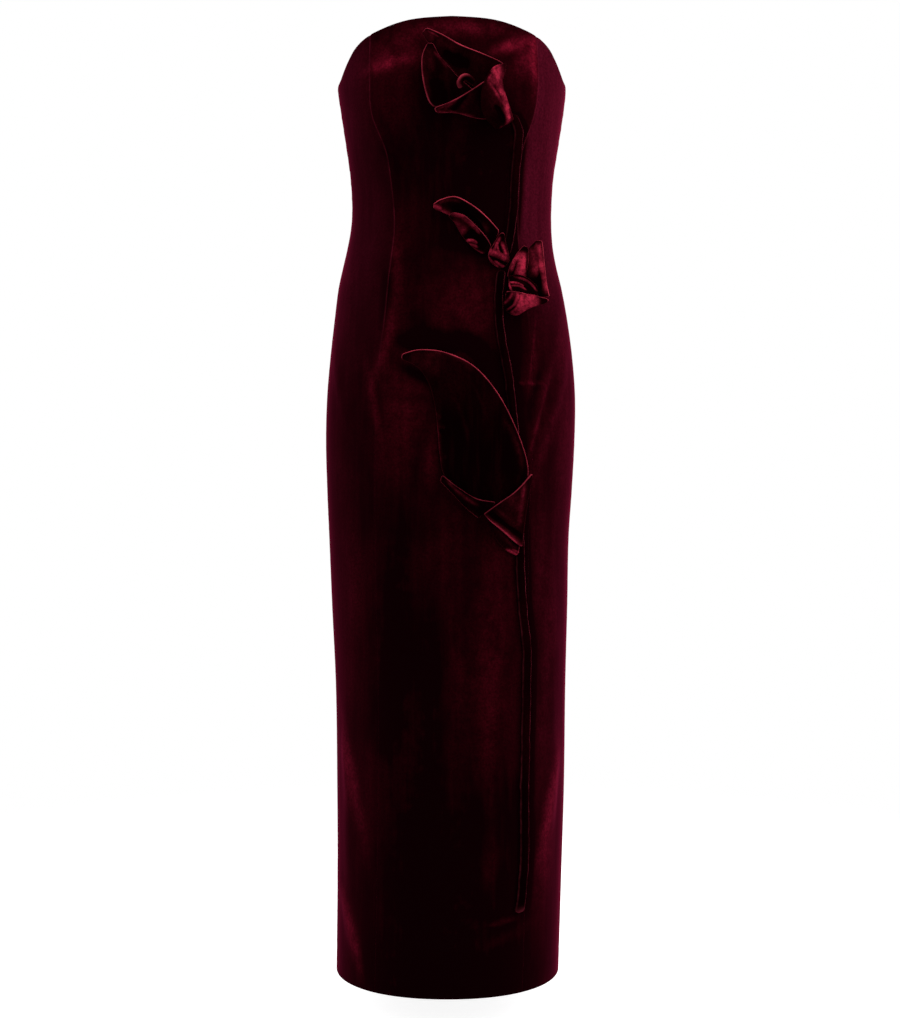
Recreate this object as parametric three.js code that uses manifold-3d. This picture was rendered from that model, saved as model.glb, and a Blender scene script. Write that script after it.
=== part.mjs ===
// Strapless column maxi dress in velvet, as worn, with a sewn-on flower, bud, two leaves and a stem.
// Millimetres, +Z up, -Y is the front, +X is the wearer's left. The origin is the centre of the waist.
import * as THREE from "three";
import { mergeVertices } from "three/addons/utils/BufferGeometryUtils.js";
import Module from "manifold-3d";

// Driving dimensions
const wall = 2; // velvet with its backing
const petalWall = 2; // the petals are two layers of velvet sewn face out
const seamGap = 0.3;
const hemHeight = -1029;
const squareness = 2.15; // power of the rounded section: 2 is an ellipse
const panelRows = 36;
const rowCrowding = 1.45; // over 1 sets the rows closer near the neckline
const weldDistance = 0.001;
const stemWidth = 12;
const stemDepth = 5.5;
const clearance = 0.8; // between a sewn-on piece and the cloth under it

// Gentle fullness over the bust, on both sides
const bust = { angle: 31, height: 104, spread: 21, reach: 62, full: 9 };

// Level sections of the dress, a row for each height
const sections = table(["height", "halfWidth", "frontDepth", "backDepth", "shift"], [
  [245, 150.0, 97, 80, 2.7],
  [200, 153.0, 109, 87, 2.7],
  [157, 154.2, 117, 91, 2.4],
  [128, 151.0, 119, 92, 3.0],
  [74, 142.8, 111, 90, 3.0],
  [34, 137.0, 101, 87, 2.6],
  [-7, 134.6, 95, 87, 2.4],
  [-34, 135.4, 95, 89, 1.6],
  [-61, 138.8, 97, 95, 0.2],
  [-88, 144.4, 101, 101, -0.4],
  [-115, 150.6, 105, 107, 0.0],
  [-155, 156.8, 109, 114, 1.2],
  [-205, 163.0, 113, 120, 1.8],
  [-260, 167.4, 115, 123, 1.5],
  [-320, 167.8, 117, 123, 0.3],
  [-385, 165.2, 119, 121, -0.6],
  [-450, 161.6, 121, 119, -1.4],
  [-540, 158.8, 125, 119, -0.4],
  [-650, 154.8, 131, 124, 0.8],
  [-780, 153.0, 136, 131, 0.8],
  [-900, 151.0, 140, 137, -0.8],
  [-1029, 149.6, 142, 141, -3.4],
]);

// Top edge, from the centre front (0 degrees) round the side (90) to the centre back (180)
const neckline = table(["angle", "height"], [
  [0, 222],
  [20, 218.5],
  [38, 208],
  [47, 201],
  [55, 191],
  [61, 179],
  [67, 167.5],
  [73, 159],
  [80, 156.5],
  [90, 157],
  [130, 156],
  [180, 155],
]);

// Princess seams, as angles round the section; the back ones are in degrees from the centre back
const seams = table(["height", "frontRight", "frontLeft", "back"], [
  [222, 43.5, 44.5, 40],
  [150, 41.5, 44.5, 40],
  [100, 42, 43, 38],
  [55, 36, 38.5, 36],
  [0, 33.5, 39, 36],
  [-60, 30.5, 38.5, 36],
  [-150, 31.5, 38, 38],
  [-270, 33.5, 38, 41],
  [-1029, 37, 38.5, 43],
]);

// Largest soft folds: a negative depth is a trough, and both ends fade out
const folds = table(
  ["topAngle", "topHeight", "bottomAngle", "bottomHeight", "width", "depth"],
  [
    [-26, -10, -29, -240, 4, -2.5],
    [-20, -20, -22, -250, 5, 1.5],
    [-75, -180, -40, -350, 5, 2.0],
    [72, -170, 38, -350, 5, 2.5],
    [58, -560, 52, -960, 7, 2.5],
    [-62, -600, -56, -1000, 7, 2.5],
    [5, 60, -8, -180, 9, -2.0],
    [-112, -150, -122, -420, 7, 2.0],
    [118, -160, 128, -450, 7, 2.0],
    [160, 20, 150, -190, 6, -2.0],
    [-158, 10, -148, -180, 6, -2.0],
    [134, -560, 140, -1000, 8, 2.5],
    [-140, -600, -136, -980, 8, 2.5],
  ],
);

// Centre line of the stem down the front, across and down from the origin
const stemLine = table(["height", "across"], [
  [96, 71],
  [85, 77],
  [74, 81.5],
  [57, 81.5],
  [0, 80],
  [-33, 78.5],
  [-63, 76],
  [-90, 69.5],
  [-115, 64],
  [-150, 61],
  [-180, 62],
  [-244, 73],
  [-310, 81],
  [-400, 88],
  [-477, 90.5],
  [-530, 92],
  [-590, 97],
  [-660, 95.5],
  [-790, 93],
  [-840, 94],
  [-900, 91.5],
  [-926, 88.5],
]);

// The stem's three lengths: each end lies under a leaf, the flower or the bud, except the lowest
const stemLengths = table(["name", "top", "bottom", "steps"], [
  ["stem_upper", 94, -84, 14],
  ["stem_middle", -104, -330, 14],
  ["stem_lower", -400, -926, 28],
]);

// Petals and leaves. Each row crosses the piece from one edge to the other: how far across, how
// high, and how far off the cloth, then how much the middle stands proud of a straight line.
const petalColumns = [
  "startAcross", "startHeight", "startLift", "endAcross", "endHeight", "endLift", "belly",
];

const petals = {
  lily_back_petal: {
    rows: [
      [-31, 201, 14, -37, 194, 12, 0],
      [-13, 193, 14, -26, 176, 7, -1],
      [10, 180, 13, -6, 154, 2.5, -2],
      [36, 167, 12, 14, 134, 1.8, -1],
      [56, 157, 11, 39, 119, 1.8, 0],
      [64, 150, 8, 54, 110, 1.8, 0],
    ],
    columns: 6, steps: 12,
  },
  lily_front_petal: {
    rows: [
      [-30, 179, 15, -23, 180, 13, 0],
      [-35, 162, 18, -15, 164, 8, -1],
      [-35, 141, 21, -2, 148, 5.3, -2],
      [-32, 120, 24, 12, 133, 4.6, -3],
      [-27, 102, 25, 27, 120, 4.6, -3],
      [-21, 94, 25, 38, 112, 4.6, -3],
    ],
    columns: 6, steps: 12,
  },
  lily_lip: {
    rows: [
      [-21, 93, 27.5, -18, 87, 25.5, 0],
      [0, 101, 29, 3, 86, 20, 1],
      [19, 113, 28, 24, 81, 13, 1],
      [32, 123, 26.4, 42, 79, 8.6, 1],
      [37, 127, 24.2, 50, 82, 5.6, 0],
    ],
    columns: 6, steps: 8,
  },
  lily_neck: {
    rows: [
      [57, 151, 17, 64, 155, 12, 0],
      [44, 140, 30, 66, 143, 12, 1],
      [34, 122, 33, 68, 128, 11, 3],
      [31, 103, 30, 71, 112, 10, 4],
      [36, 85, 19, 76, 98, 9.5, 4],
      [55, 73, 1.5, 79, 87, 9, 3],
    ],
    columns: 6, steps: 8,
  },
  small_leaf_blade: {
    rows: [
      [-23, -19, 10, -22, -26, 9, 0],
      [-14, -13, 12, -11, -30, 7, 0],
      [4, -11, 14, 6, -38, 3.5, 0],
      [25, -24, 14, 22, -52, 1.8, 0],
      [43, -40, 13, 36, -66, 1.8, 0],
      [60, -56, 12, 48, -77, 3, 0],
    ],
    columns: 4, steps: 12,
  },
  small_leaf_fold: {
    rows: [
      [2, -31, 13, -4, -35, 10, 0],
      [16, -35, 13, 6, -45, 4, 0],
      [31, -48, 12, 17, -62, 1.6, 1],
      [44, -62, 11, 32, -77, 1.6, 1],
      [52, -74, 9, 43, -84, 2, 1],
    ],
    columns: 4, steps: 8,
  },
  small_leaf_knot: {
    rows: [
      [52, -59, 17, 64, -56, 15, 1],
      [48, -73, 16, 67, -69, 14, 3],
      [47, -84, 13, 71, -81, 12, 4],
      [52, -94, 7, 73, -91, 9, 3],
      [62, -101, 1.3, 71, -99, 1.3, 1],
    ],
    columns: 4, steps: 8,
  },
  bud_left_petal: {
    rows: [
      [88, -71, 15, 93, -73, 16, 0],
      [80, -86, 10, 95, -86, 14, 2],
      [75, -100, 5, 95, -100, 11, 2],
      [73, -113, 1.4, 94, -117, 7, 1],
    ],
    columns: 4, steps: 6,
  },
  bud_right_petal: {
    rows: [
      [101, -63, 18, 106, -63, 22, 0],
      [95, -78, 9, 107, -80, 24, 0],
      [93, -94, 3.5, 108, -96, 25, 0],
      [93, -110, 1.8, 109, -114, 26, 0],
      [97, -125, 1.2, 110, -128, 27, 0],
      [105, -136, 5, 112, -139, 28, 0],
    ],
    columns: 4, steps: 10,
  },
  bud_inner: {
    rows: [
      [74, -112, 4.4, 72, -129, 10, 0],
      [84, -110, 10, 78, -136, 16, 1],
      [94, -115, 15, 88, -139, 20, 1],
      [103, -126, 20, 100, -140, 23, 0],
    ],
    columns: 4, steps: 6,
  },
  bud_cup: {
    rows: [
      [66, -134, 17, 67, -150, 4, 2],
      [72, -134, 22, 72, -158, 2, 6],
      [82, -136, 25, 83, -162, 2, 8],
      [95, -139, 28, 96, -153, 9, 5],
      [109, -142, 30, 110, -146, 26, 1],
    ],
    columns: 6, steps: 8,
  },
  large_leaf_blade: {
    rows: [
      [-60, -214, 13, -61, -221, 12, 0],
      [-38, -209, 15, -42, -231, 8, 0],
      [-7, -213, 16, -28, -252, 3.5, 0],
      [27, -230, 16, -20, -282, 1.8, 0],
      [54, -261, 16, -16, -313, 1.8, 1],
      [74, -298, 16, -13, -343, 1.8, 2],
      [89, -339, 17, -7, -369, 1.8, 3],
      [94, -368, 15, 12, -393, 1.8, 3],
      [88, -396, 10, 34, -414, 1.8, 2],
    ],
    columns: 8, steps: 20,
  },
  large_leaf_cuff: {
    rows: [
      [-9, -368, 13, -12, -376, 9, 0],
      [10, -384, 15, 3, -391, 4, 1],
      [32, -398, 17, 20, -409, 1.5, 2],
      [56, -403, 19, 38, -424, 1.5, 3],
    ],
    columns: 4, steps: 8,
  },
  large_leaf_wrap: {
    rows: [
      [97, -366, 19, 102, -371, 9, 0],
      [78, -388, 21, 98, -393, 8, 2],
      [59, -403, 22, 94, -422, 8, 3],
      [40, -419, 15, 89, -456, 8, 3],
    ],
    columns: 6, steps: 8,
  },
  large_leaf_tail: {
    rows: [
      [44, -425, 3, 50, -435, 1.5, 0],
      [58, -433, 5, 58, -451, 1.5, 1],
      [70, -443, 5, 68, -465, 1.5, 1],
      [80, -452, 4, 79, -473, 1.5, 1],
    ],
    columns: 4, steps: 8,
  },
};

// Small rolled tube inside the flower
const spadixLine = table(["across", "height", "lift"], [
  [11, 117, 12],
  [6, 124, 17],
  [8, 131, 19.5],
  [14, 134, 20],
  [20, 130, 18],
]);
const spadixRadius = 3;

// Concealed zip at the centre back: the slider shows just under the top edge, with its pull tab
// hanging from a pin between two ears. The tab's eye turns on the pin.
const slider = { height: 143, width: 7, length: 9, faceLength: 6.3, depth: 1.6, clearance: 0.45 };
const ear = { width: 1.4, apart: 3.2, length: 4 };
const pin = { radius: 0.6, out: 2.1 }; // out is from the slider's face to the pin's centre
const tab = { width: 5.5, neck: 2.6, length: 24, shoulder: 5, depth: 1, eyeRadius: 0.9, eyeWall: 0.9 };

const velvet = { color: 0x3c0512, roughness: 0.85, metalness: 0 };
const petalVelvet = { color: 0x4a0816, roughness: 0.8, metalness: 0 };
const darkMetal = { color: 0x3a0a14, roughness: 0.4, metalness: 0.6 };

// Rows of values become objects with the column names
function table(columns, rows) {
  return rows.map((row) => Object.fromEntries(columns.map((name, i) => [name, row[i]])));
}

// Smooth curve through a table's rows, read at any value of the key column
function curve(rows, key, column) {
  const sorted = [...rows].sort((p, q) => p[key] - q[key]);
  const at = sorted.map((row) => row[key]);
  const value = sorted.map((row) => row[column]);
  const last = at.length - 1;
  const slope = at.map((_, i) => {
    const before = Math.max(i - 1, 0);
    const after = Math.min(i + 1, last);
    return (value[after] - value[before]) / (at[after] - at[before]);
  });
  return (x) => {
    const place = Math.min(Math.max(x, at[0]), at[last]);
    let i = 0;
    while (i < last - 1 && place > at[i + 1]) i += 1;
    const span = at[i + 1] - at[i];
    const t = (place - at[i]) / span;
    const rise = t * t * (3 - 2 * t);
    const leave = t * (1 - t) ** 2 * span * slope[i];
    const arrive = t * t * (t - 1) * span * slope[i + 1];
    return value[i] + (value[i + 1] - value[i]) * rise + leave + arrive;
  };
}

const halfWidth = curve(sections, "height", "halfWidth");
const frontDepth = curve(sections, "height", "frontDepth");
const backDepth = curve(sections, "height", "backDepth");
const shift = curve(sections, "height", "shift");
const topEdge = curve(neckline, "angle", "height");
const stemAcross = curve(stemLine, "height", "across");

const degrees = 180 / Math.PI;

function signedPower(value, power) {
  return Math.sign(value) * Math.abs(value) ** power;
}

function mix(a, b, t) {
  return a + (b - a) * t;
}

// How far the cloth stands out from the plain section: bust fullness and soft folds
function relief(angle, height) {
  const turn = angle * degrees;
  const aside = (Math.abs(turn) - bust.angle) / bust.spread;
  const above = (height - bust.height) / bust.reach;
  let out = bust.full * Math.exp(-aside * aside - above * above);
  for (const fold of folds) {
    const along = (fold.topHeight - height) / (fold.topHeight - fold.bottomHeight);
    if (along <= 0 || along >= 1) continue;
    const away = (turn - mix(fold.topAngle, fold.bottomAngle, along)) / fold.width;
    out += fold.depth * 16 * (along * (1 - along)) ** 2 * Math.exp(-away * away);
  }
  return out;
}

// A point of the dress: angle round the section from the centre front, height, and lift off the cloth
function clothPoint(angle, height, lift) {
  const half = halfWidth(height);
  const depth = Math.cos(angle) > 0 ? frontDepth(height) : backDepth(height);
  const across = signedPower(Math.sin(angle), 2 / squareness);
  const forward = signedPower(Math.cos(angle), 2 / squareness);
  const normal = new THREE.Vector2(
    signedPower(across, squareness - 1) / half,
    -signedPower(forward, squareness - 1) / depth,
  ).normalize();
  const out = lift + relief(angle, height);
  return new THREE.Vector3(
    shift(height) + half * across + normal.x * out,
    -depth * forward + normal.y * out,
    height,
  );
}

// A point on or above the front, given by how far across it lies
function frontPoint(across, height, lift) {
  const share = Math.min(Math.abs(across) / halfWidth(height), 1);
  const angle = Math.sign(across) * Math.asin(share ** (squareness / 2));
  return clothPoint(angle, height, lift);
}

// Closed mesh from points and faces; faces are turned round if they enclose a negative volume
function closedMesh(name, points, faces, finish) {
  let volume = 0;
  const cross = new THREE.Vector3();
  for (const [a, b, c] of faces) {
    volume += points[a].dot(cross.crossVectors(points[b], points[c]));
  }
  const outward = volume > 0 ? faces : faces.map(([a, b, c]) => [a, c, b]);
  const geometry = new THREE.BufferGeometry();
  geometry.setAttribute("position", new THREE.Float32BufferAttribute(
    points.flatMap((point) => point.toArray()), 3,
  ));
  geometry.setIndex(outward.flat());
  geometry.computeVertexNormals();
  const mesh = new THREE.Mesh(geometry, new THREE.MeshStandardMaterial(finish));
  mesh.name = name;
  return mesh;
}

// Wall between two grids of points with the same rows and columns
function wallBetween(name, outer, inner, finish) {
  const rows = outer.length;
  const columns = outer[0].length;
  const points = [...outer.flat(), ...inner.flat()];
  const offset = rows * columns;
  const faces = [];
  const quad = (a, b, c, d) => faces.push([a, b, c], [a, c, d]);
  const at = (row, column) => row * columns + column;
  for (let row = 0; row < rows - 1; row += 1) {
    for (let column = 0; column < columns - 1; column += 1) {
      const corners = [
        at(row, column), at(row + 1, column), at(row + 1, column + 1), at(row, column + 1),
      ];
      quad(...corners);
      quad(...corners.map((i) => i + offset).reverse());
    }
  }
  const rim = [];
  for (let column = 0; column < columns - 1; column += 1) rim.push(at(0, column));
  for (let row = 0; row < rows - 1; row += 1) rim.push(at(row, columns - 1));
  for (let column = columns - 1; column > 0; column -= 1) rim.push(at(rows - 1, column));
  for (let row = rows - 1; row > 0; row -= 1) rim.push(at(row, 0));
  rim.forEach((a, i) => {
    const b = rim[(i + 1) % rim.length];
    quad(a, b, b + offset, a + offset);
  });
  return closedMesh(name, points, faces, finish);
}

// One panel between two seams, from the neckline to the hem
function panel(name, fromSeam, toSeam, columns) {
  const outer = [];
  const inner = [];
  for (let row = 0; row <= panelRows; row += 1) {
    const down = (row / panelRows) ** rowCrowding;
    const outerRow = [];
    const innerRow = [];
    for (let column = 0; column <= columns; column += 1) {
      const share = column / columns;
      let top = topEdge(0);
      for (let pass = 0; pass < 4; pass += 1) {
        top = topEdge(Math.abs(mix(fromSeam(top), toSeam(top), share)));
      }
      const height = mix(top, hemHeight, down);
      const inset = (seamGap / 2 / halfWidth(height)) * (column === 0 ? 1 : column === columns ? -1 : 0);
      const angle = mix(fromSeam(height), toSeam(height), share) / degrees + inset;
      outerRow.push(clothPoint(angle, height, 0));
      innerRow.push(clothPoint(angle, height, -wall));
    }
    outer.push(outerRow);
    inner.push(innerRow);
  }
  return wallBetween(name, outer, inner, velvet);
}

const frontRightSeam = curve(seams, "height", "frontRight");
const frontLeftSeam = curve(seams, "height", "frontLeft");
const backSeam = curve(seams, "height", "back");

function dressPanels() {
  const front = (height) => -frontRightSeam(height);
  const back = (height) => 180 - backSeam(height);
  return [
    panel("front_centre", front, frontLeftSeam, 18),
    panel("side_front_right", () => -90, front, 7),
    panel("side_front_left", frontLeftSeam, () => 90, 7),
    panel("side_back_right", (height) => -back(height), () => -90, 6),
    panel("side_back_left", () => 90, back, 6),
    panel("centre_back_right", () => -180, (height) => -back(height), 5),
    panel("centre_back_left", back, () => 180, 5),
  ];
}

// Filled tube lying on the front: a dome on a flat base, carried down the stem's line
function stemLength({ name, top, bottom, steps }) {
  const domePoints = 7;
  const points = [];
  for (let step = 0; step <= steps; step += 1) {
    const height = mix(top, bottom, step / steps);
    const across = stemAcross(height);
    for (let i = 0; i < domePoints; i += 1) {
      const turn = (Math.PI * i) / (domePoints - 1);
      const aside = (-Math.cos(turn) * stemWidth) / 2;
      points.push(frontPoint(across + aside, height, clearance + Math.sin(turn) * stemDepth));
    }
    points.push(frontPoint(across, height, clearance));
  }
  return closedMesh(name, points, loftFaces(steps, domePoints + 1), petalVelvet);
}

// Faces of a closed tube whose rings hold the same number of points, with flat ends
function loftFaces(steps, ring) {
  const faces = [];
  for (let step = 0; step < steps; step += 1) {
    for (let i = 0; i < ring; i += 1) {
      const a = step * ring + i;
      const b = step * ring + ((i + 1) % ring);
      faces.push([a, b, b + ring], [a, b + ring, a + ring]);
    }
  }
  const end = steps * ring;
  for (let i = 1; i < ring - 1; i += 1) {
    faces.push([0, i + 1, i], [end, end + i, end + i + 1]);
  }
  return faces;
}

// Petal or leaf: rows joined by smooth edges, then given its thickness half to each side
function petal(name, { rows, columns, steps }) {
  const named = table(["row", ...petalColumns], rows.map((row, i) => [i, ...row]));
  const read = Object.fromEntries(petalColumns.map((column) => [column, curve(named, "row", column)]));
  const middle = (u, v) => {
    const place = v * (rows.length - 1);
    return frontPoint(
      mix(read.startAcross(place), read.endAcross(place), u),
      mix(read.startHeight(place), read.endHeight(place), u),
      mix(read.startLift(place), read.endLift(place), u) + read.belly(place) * 4 * u * (1 - u),
    );
  };
  const outer = [];
  const inner = [];
  const near = 0.02;
  for (let step = 0; step <= steps; step += 1) {
    const outerRow = [];
    const innerRow = [];
    for (let column = 0; column <= columns; column += 1) {
      const u = column / columns;
      const v = step / steps;
      const alongU = middle(Math.min(u + near, 1), v).sub(middle(Math.max(u - near, 0), v));
      const alongV = middle(u, Math.min(v + near, 1)).sub(middle(u, Math.max(v - near, 0)));
      const normal = alongU.cross(alongV).normalize();
      const point = middle(u, v);
      outerRow.push(point.clone().addScaledVector(normal, petalWall / 2));
      innerRow.push(point.clone().addScaledVector(normal, -petalWall / 2));
    }
    outer.push(outerRow);
    inner.push(innerRow);
  }
  return wallBetween(name, outer, inner, petalVelvet);
}

// Round tube along a curve through points above the cloth
function lilySpadix() {
  const line = new THREE.CatmullRomCurve3(
    spadixLine.map(({ across, height, lift }) => frontPoint(across, height, lift)),
  );
  const steps = 10;
  const sides = 8;
  const frames = line.computeFrenetFrames(steps, false);
  const points = [];
  for (let step = 0; step <= steps; step += 1) {
    const centre = line.getPoint(step / steps);
    for (let i = 0; i < sides; i += 1) {
      const turn = (2 * Math.PI * i) / sides;
      points.push(centre.clone()
        .addScaledVector(frames.normals[step], Math.cos(turn) * spadixRadius)
        .addScaledVector(frames.binormals[step], Math.sin(turn) * spadixRadius));
    }
  }
  return closedMesh("lily_spadix", points, loftFaces(steps, sides), petalVelvet);
}

// Extruded outline in the plane of the centre back, spread evenly to both sides of it
function acrossZip(shape, width) {
  const geometry = new THREE.ExtrudeGeometry(shape, { depth: width, bevelEnabled: false, curveSegments: 8 });
  return geometry.translate(0, 0, -width / 2);
}

// The slider's plate with its two ears and the pin between them, joined as a single body
function zipSlider(wasm) {
  const plate = new THREE.Shape();
  const half = slider.length / 2;
  plate.moveTo(0, -half);
  plate.lineTo(slider.depth, -slider.faceLength / 2);
  plate.lineTo(slider.depth, slider.faceLength / 2);
  plate.lineTo(0, half);
  plate.closePath();
  const ears = new THREE.Shape();
  ears.moveTo(slider.depth / 2, -ear.length / 2);
  ears.lineTo(slider.depth + pin.out, -ear.length / 2);
  ears.absarc(slider.depth + pin.out, 0, ear.length / 2, -Math.PI / 2, Math.PI / 2, false);
  ears.lineTo(slider.depth / 2, ear.length / 2);
  ears.closePath();
  const rod = new THREE.Shape();
  rod.absarc(slider.depth + pin.out, 0, pin.radius, 0, 2 * Math.PI, false);
  const aside = (ear.apart + ear.width) / 2;
  const pieces = [
    acrossZip(plate, slider.width),
    acrossZip(ears, ear.width).translate(0, 0, aside),
    acrossZip(ears, ear.width).translate(0, 0, -aside),
    acrossZip(rod, ear.apart + ear.width),
  ];
  return joined(wasm, pieces);
}

// The pull tab, with an eye round the pin and a wider blade; it hangs straight down
function zipTab(wasm) {
  const outer = tab.eyeRadius + tab.eyeWall;
  const outline = new THREE.Shape();
  const half = tab.depth / 2;
  const meet = Math.sqrt(outer * outer - half * half);
  outline.moveTo(half, -meet);
  outline.absarc(0, 0, outer, Math.atan2(-meet, half), Math.atan2(-meet, -half), false);
  outline.lineTo(-half, -tab.length);
  outline.lineTo(half, -tab.length);
  outline.closePath();
  const hole = new THREE.Path();
  hole.absarc(0, 0, tab.eyeRadius, 0, 2 * Math.PI, true);
  outline.holes.push(hole);
  const blade = new THREE.Shape();
  blade.moveTo(half, -tab.shoulder);
  blade.lineTo(-half, -tab.shoulder);
  blade.lineTo(-half, -tab.length);
  blade.lineTo(half, -tab.length);
  blade.closePath();
  return joined(wasm, [acrossZip(outline, tab.neck), acrossZip(blade, tab.width)]);
}

// Several closed meshes as one
function joined(wasm, pieces) {
  const solids = pieces.map((piece) => {
    piece.deleteAttribute("normal");
    piece.deleteAttribute("uv");
    const merged = mergeVertices(piece, weldDistance);
    return new wasm.Manifold(new wasm.Mesh({
      numProp: 3,
      vertProperties: merged.attributes.position.array,
      triVerts: new Uint32Array(merged.index.array),
    }));
  });
  const whole = solids.reduce((sum, solid) => sum.add(solid)).getMesh();
  const geometry = new THREE.BufferGeometry();
  geometry.setAttribute("position", new THREE.BufferAttribute(whole.vertProperties, 3));
  geometry.setIndex(new THREE.BufferAttribute(whole.triVerts, 1));
  geometry.computeVertexNormals();
  return geometry;
}

// Slider and tab in the frame of the dress: the outline's x runs out from the back, y up, z across
async function zipPieces() {
  const wasm = await Module();
  wasm.setup();
  const backFace = clothPoint(Math.PI, slider.height, slider.clearance);
  const turn = new THREE.Matrix4().makeBasis(
    new THREE.Vector3(0, 1, 0), new THREE.Vector3(0, 0, 1), new THREE.Vector3(1, 0, 0),
  );
  const place = (name, geometry, out) => {
    const mesh = new THREE.Mesh(geometry.applyMatrix4(turn), new THREE.MeshStandardMaterial(darkMetal));
    mesh.name = name;
    mesh.position.set(backFace.x, backFace.y + out, slider.height);
    return mesh;
  };
  return [
    place("zip_slider", zipSlider(wasm), 0),
    place("zip_pull", zipTab(wasm), slider.depth + pin.out),
  ];
}

const dress = new THREE.Group();
dress.add(...dressPanels());
dress.add(...stemLengths.map(stemLength));
for (const [name, shape] of Object.entries(petals)) dress.add(petal(name, shape));
dress.add(lilySpadix());
dress.add(...await zipPieces());

export default dress;
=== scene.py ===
# Strapless velvet maxi dress: panels, rolled flower, bud, leaves and stem, worn form, no wearer.
# Tables are in millimetres and degrees as in the part's source; meshes are in metres.
import bpy, math
import numpy as np
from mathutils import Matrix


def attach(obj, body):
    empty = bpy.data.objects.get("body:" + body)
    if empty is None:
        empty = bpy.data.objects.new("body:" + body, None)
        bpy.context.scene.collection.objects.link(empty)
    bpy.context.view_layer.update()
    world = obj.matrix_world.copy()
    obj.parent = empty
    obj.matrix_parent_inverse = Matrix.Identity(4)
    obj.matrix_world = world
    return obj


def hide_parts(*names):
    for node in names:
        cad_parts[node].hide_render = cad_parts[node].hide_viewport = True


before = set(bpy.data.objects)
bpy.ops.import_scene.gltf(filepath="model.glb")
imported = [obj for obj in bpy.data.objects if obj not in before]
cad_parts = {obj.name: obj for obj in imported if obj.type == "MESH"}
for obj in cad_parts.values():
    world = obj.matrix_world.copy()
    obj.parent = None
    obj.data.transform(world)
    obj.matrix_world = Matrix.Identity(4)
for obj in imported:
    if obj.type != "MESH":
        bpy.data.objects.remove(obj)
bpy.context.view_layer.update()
metre = 0.001


# Named columns from rows of values
def table(columns, rows):
    values = np.array(rows, float)
    return {name: values[:, i] for i, name in enumerate(columns.split())}


# Smooth curve through key and value pairs: a cubic whose slopes come from the neighbouring rows
def curve(x, keys, values):
    order = np.argsort(keys)
    keys, values = keys[order], values[order]
    last = len(keys) - 1
    before = np.maximum(np.arange(last + 1) - 1, 0)
    after = np.minimum(np.arange(last + 1) + 1, last)
    slope = (values[after] - values[before]) / (keys[after] - keys[before])
    x = np.clip(x, keys[0], keys[-1])
    i = np.clip(np.searchsorted(keys, x) - 1, 0, last - 1)
    span = keys[i + 1] - keys[i]
    t = (x - keys[i]) / span
    rise = t * t * (3 - 2 * t)
    leave = t * (1 - t) ** 2 * span * slope[i]
    arrive = t * t * (t - 1) * span * slope[i + 1]
    return values[i] + (values[i + 1] - values[i]) * rise + leave + arrive


def signedPower(value, power):
    return np.sign(value) * np.abs(value) ** power


def mix(a, b, t):
    return a + (b - a) * t


def smooth(low, high, x):  # 0 below low, 1 above high, an S between
    t = np.clip((x - low) / (high - low), 0, 1)
    return t * t * (3 - 2 * t)


def bell(x, width):
    return np.exp(-(x / width) ** 2)


def wobble(x, pitch, seed):  # uneven wave: four sines of unrelated pitches, about -1 to 1
    total = 0
    for i, share in enumerate((0.45, 0.3, 0.15, 0.1)):
        total = total + share * np.sin(2 * np.pi * x / pitch * (0.61 + 0.73 * i) + seed * (1.7 + i))
    return total


def each(columns):  # the rows of a table, each with its values by name
    return [dict(zip(columns, row)) for row in zip(*columns.values())]


# Form of the dress, the same formulas as the solids
form = {
    "hemHeight": -1029, "squareness": 2.15, "wall": 2.0,
    "bustAngle": 31, "bustHeight": 104, "bustSpread": 21, "bustReach": 62, "bustFull": 9,
}

sections = table("height halfWidth frontDepth backDepth shift", [
    [245, 150.0, 97, 80, 2.7], [200, 153.0, 109, 87, 2.7], [157, 154.2, 117, 91, 2.4],
    [128, 151.0, 119, 92, 3.0], [74, 142.8, 111, 90, 3.0], [34, 137.0, 101, 87, 2.6],
    [-7, 134.6, 95, 87, 2.4], [-34, 135.4, 95, 89, 1.6], [-61, 138.8, 97, 95, 0.2],
    [-88, 144.4, 101, 101, -0.4], [-115, 150.6, 105, 107, 0.0], [-155, 156.8, 109, 114, 1.2],
    [-205, 163.0, 113, 120, 1.8], [-260, 167.4, 115, 123, 1.5], [-320, 167.8, 117, 123, 0.3],
    [-385, 165.2, 119, 121, -0.6], [-450, 161.6, 121, 119, -1.4], [-540, 158.8, 125, 119, -0.4],
    [-650, 154.8, 131, 124, 0.8], [-780, 153.0, 136, 131, 0.8], [-900, 151.0, 140, 137, -0.8],
    [-1029, 149.6, 142, 141, -3.4],
])

neckline = table("angle height", [
    [0, 222], [20, 218.5], [38, 208], [47, 201], [55, 191], [61, 179], [67, 167.5],
    [73, 159], [80, 156.5], [90, 157], [130, 156], [180, 155],
])

seams = table("height frontRight frontLeft back", [
    [222, 43.5, 44.5, 40], [150, 41.5, 44.5, 40], [100, 42, 43, 38], [55, 36, 38.5, 36],
    [0, 33.5, 39, 36], [-60, 30.5, 38.5, 36], [-150, 31.5, 38, 38], [-270, 33.5, 38, 41],
    [-1029, 37, 38.5, 43],
])

folds = table("topAngle topHeight bottomAngle bottomHeight width depth", [
    [-26, -10, -29, -240, 4, -2.5], [-20, -20, -22, -250, 5, 1.5],
    [-75, -180, -40, -350, 5, 2.0], [72, -170, 38, -350, 5, 2.5],
    [58, -560, 52, -960, 7, 2.5], [-62, -600, -56, -1000, 7, 2.5],
    [5, 60, -8, -180, 9, -2.0], [-112, -150, -122, -420, 7, 2.0],
    [118, -160, 128, -450, 7, 2.0], [160, 20, 150, -190, 6, -2.0],
    [-158, 10, -148, -180, 6, -2.0], [134, -560, 140, -1000, 8, 2.5],
    [-140, -600, -136, -980, 8, 2.5],
])

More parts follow.
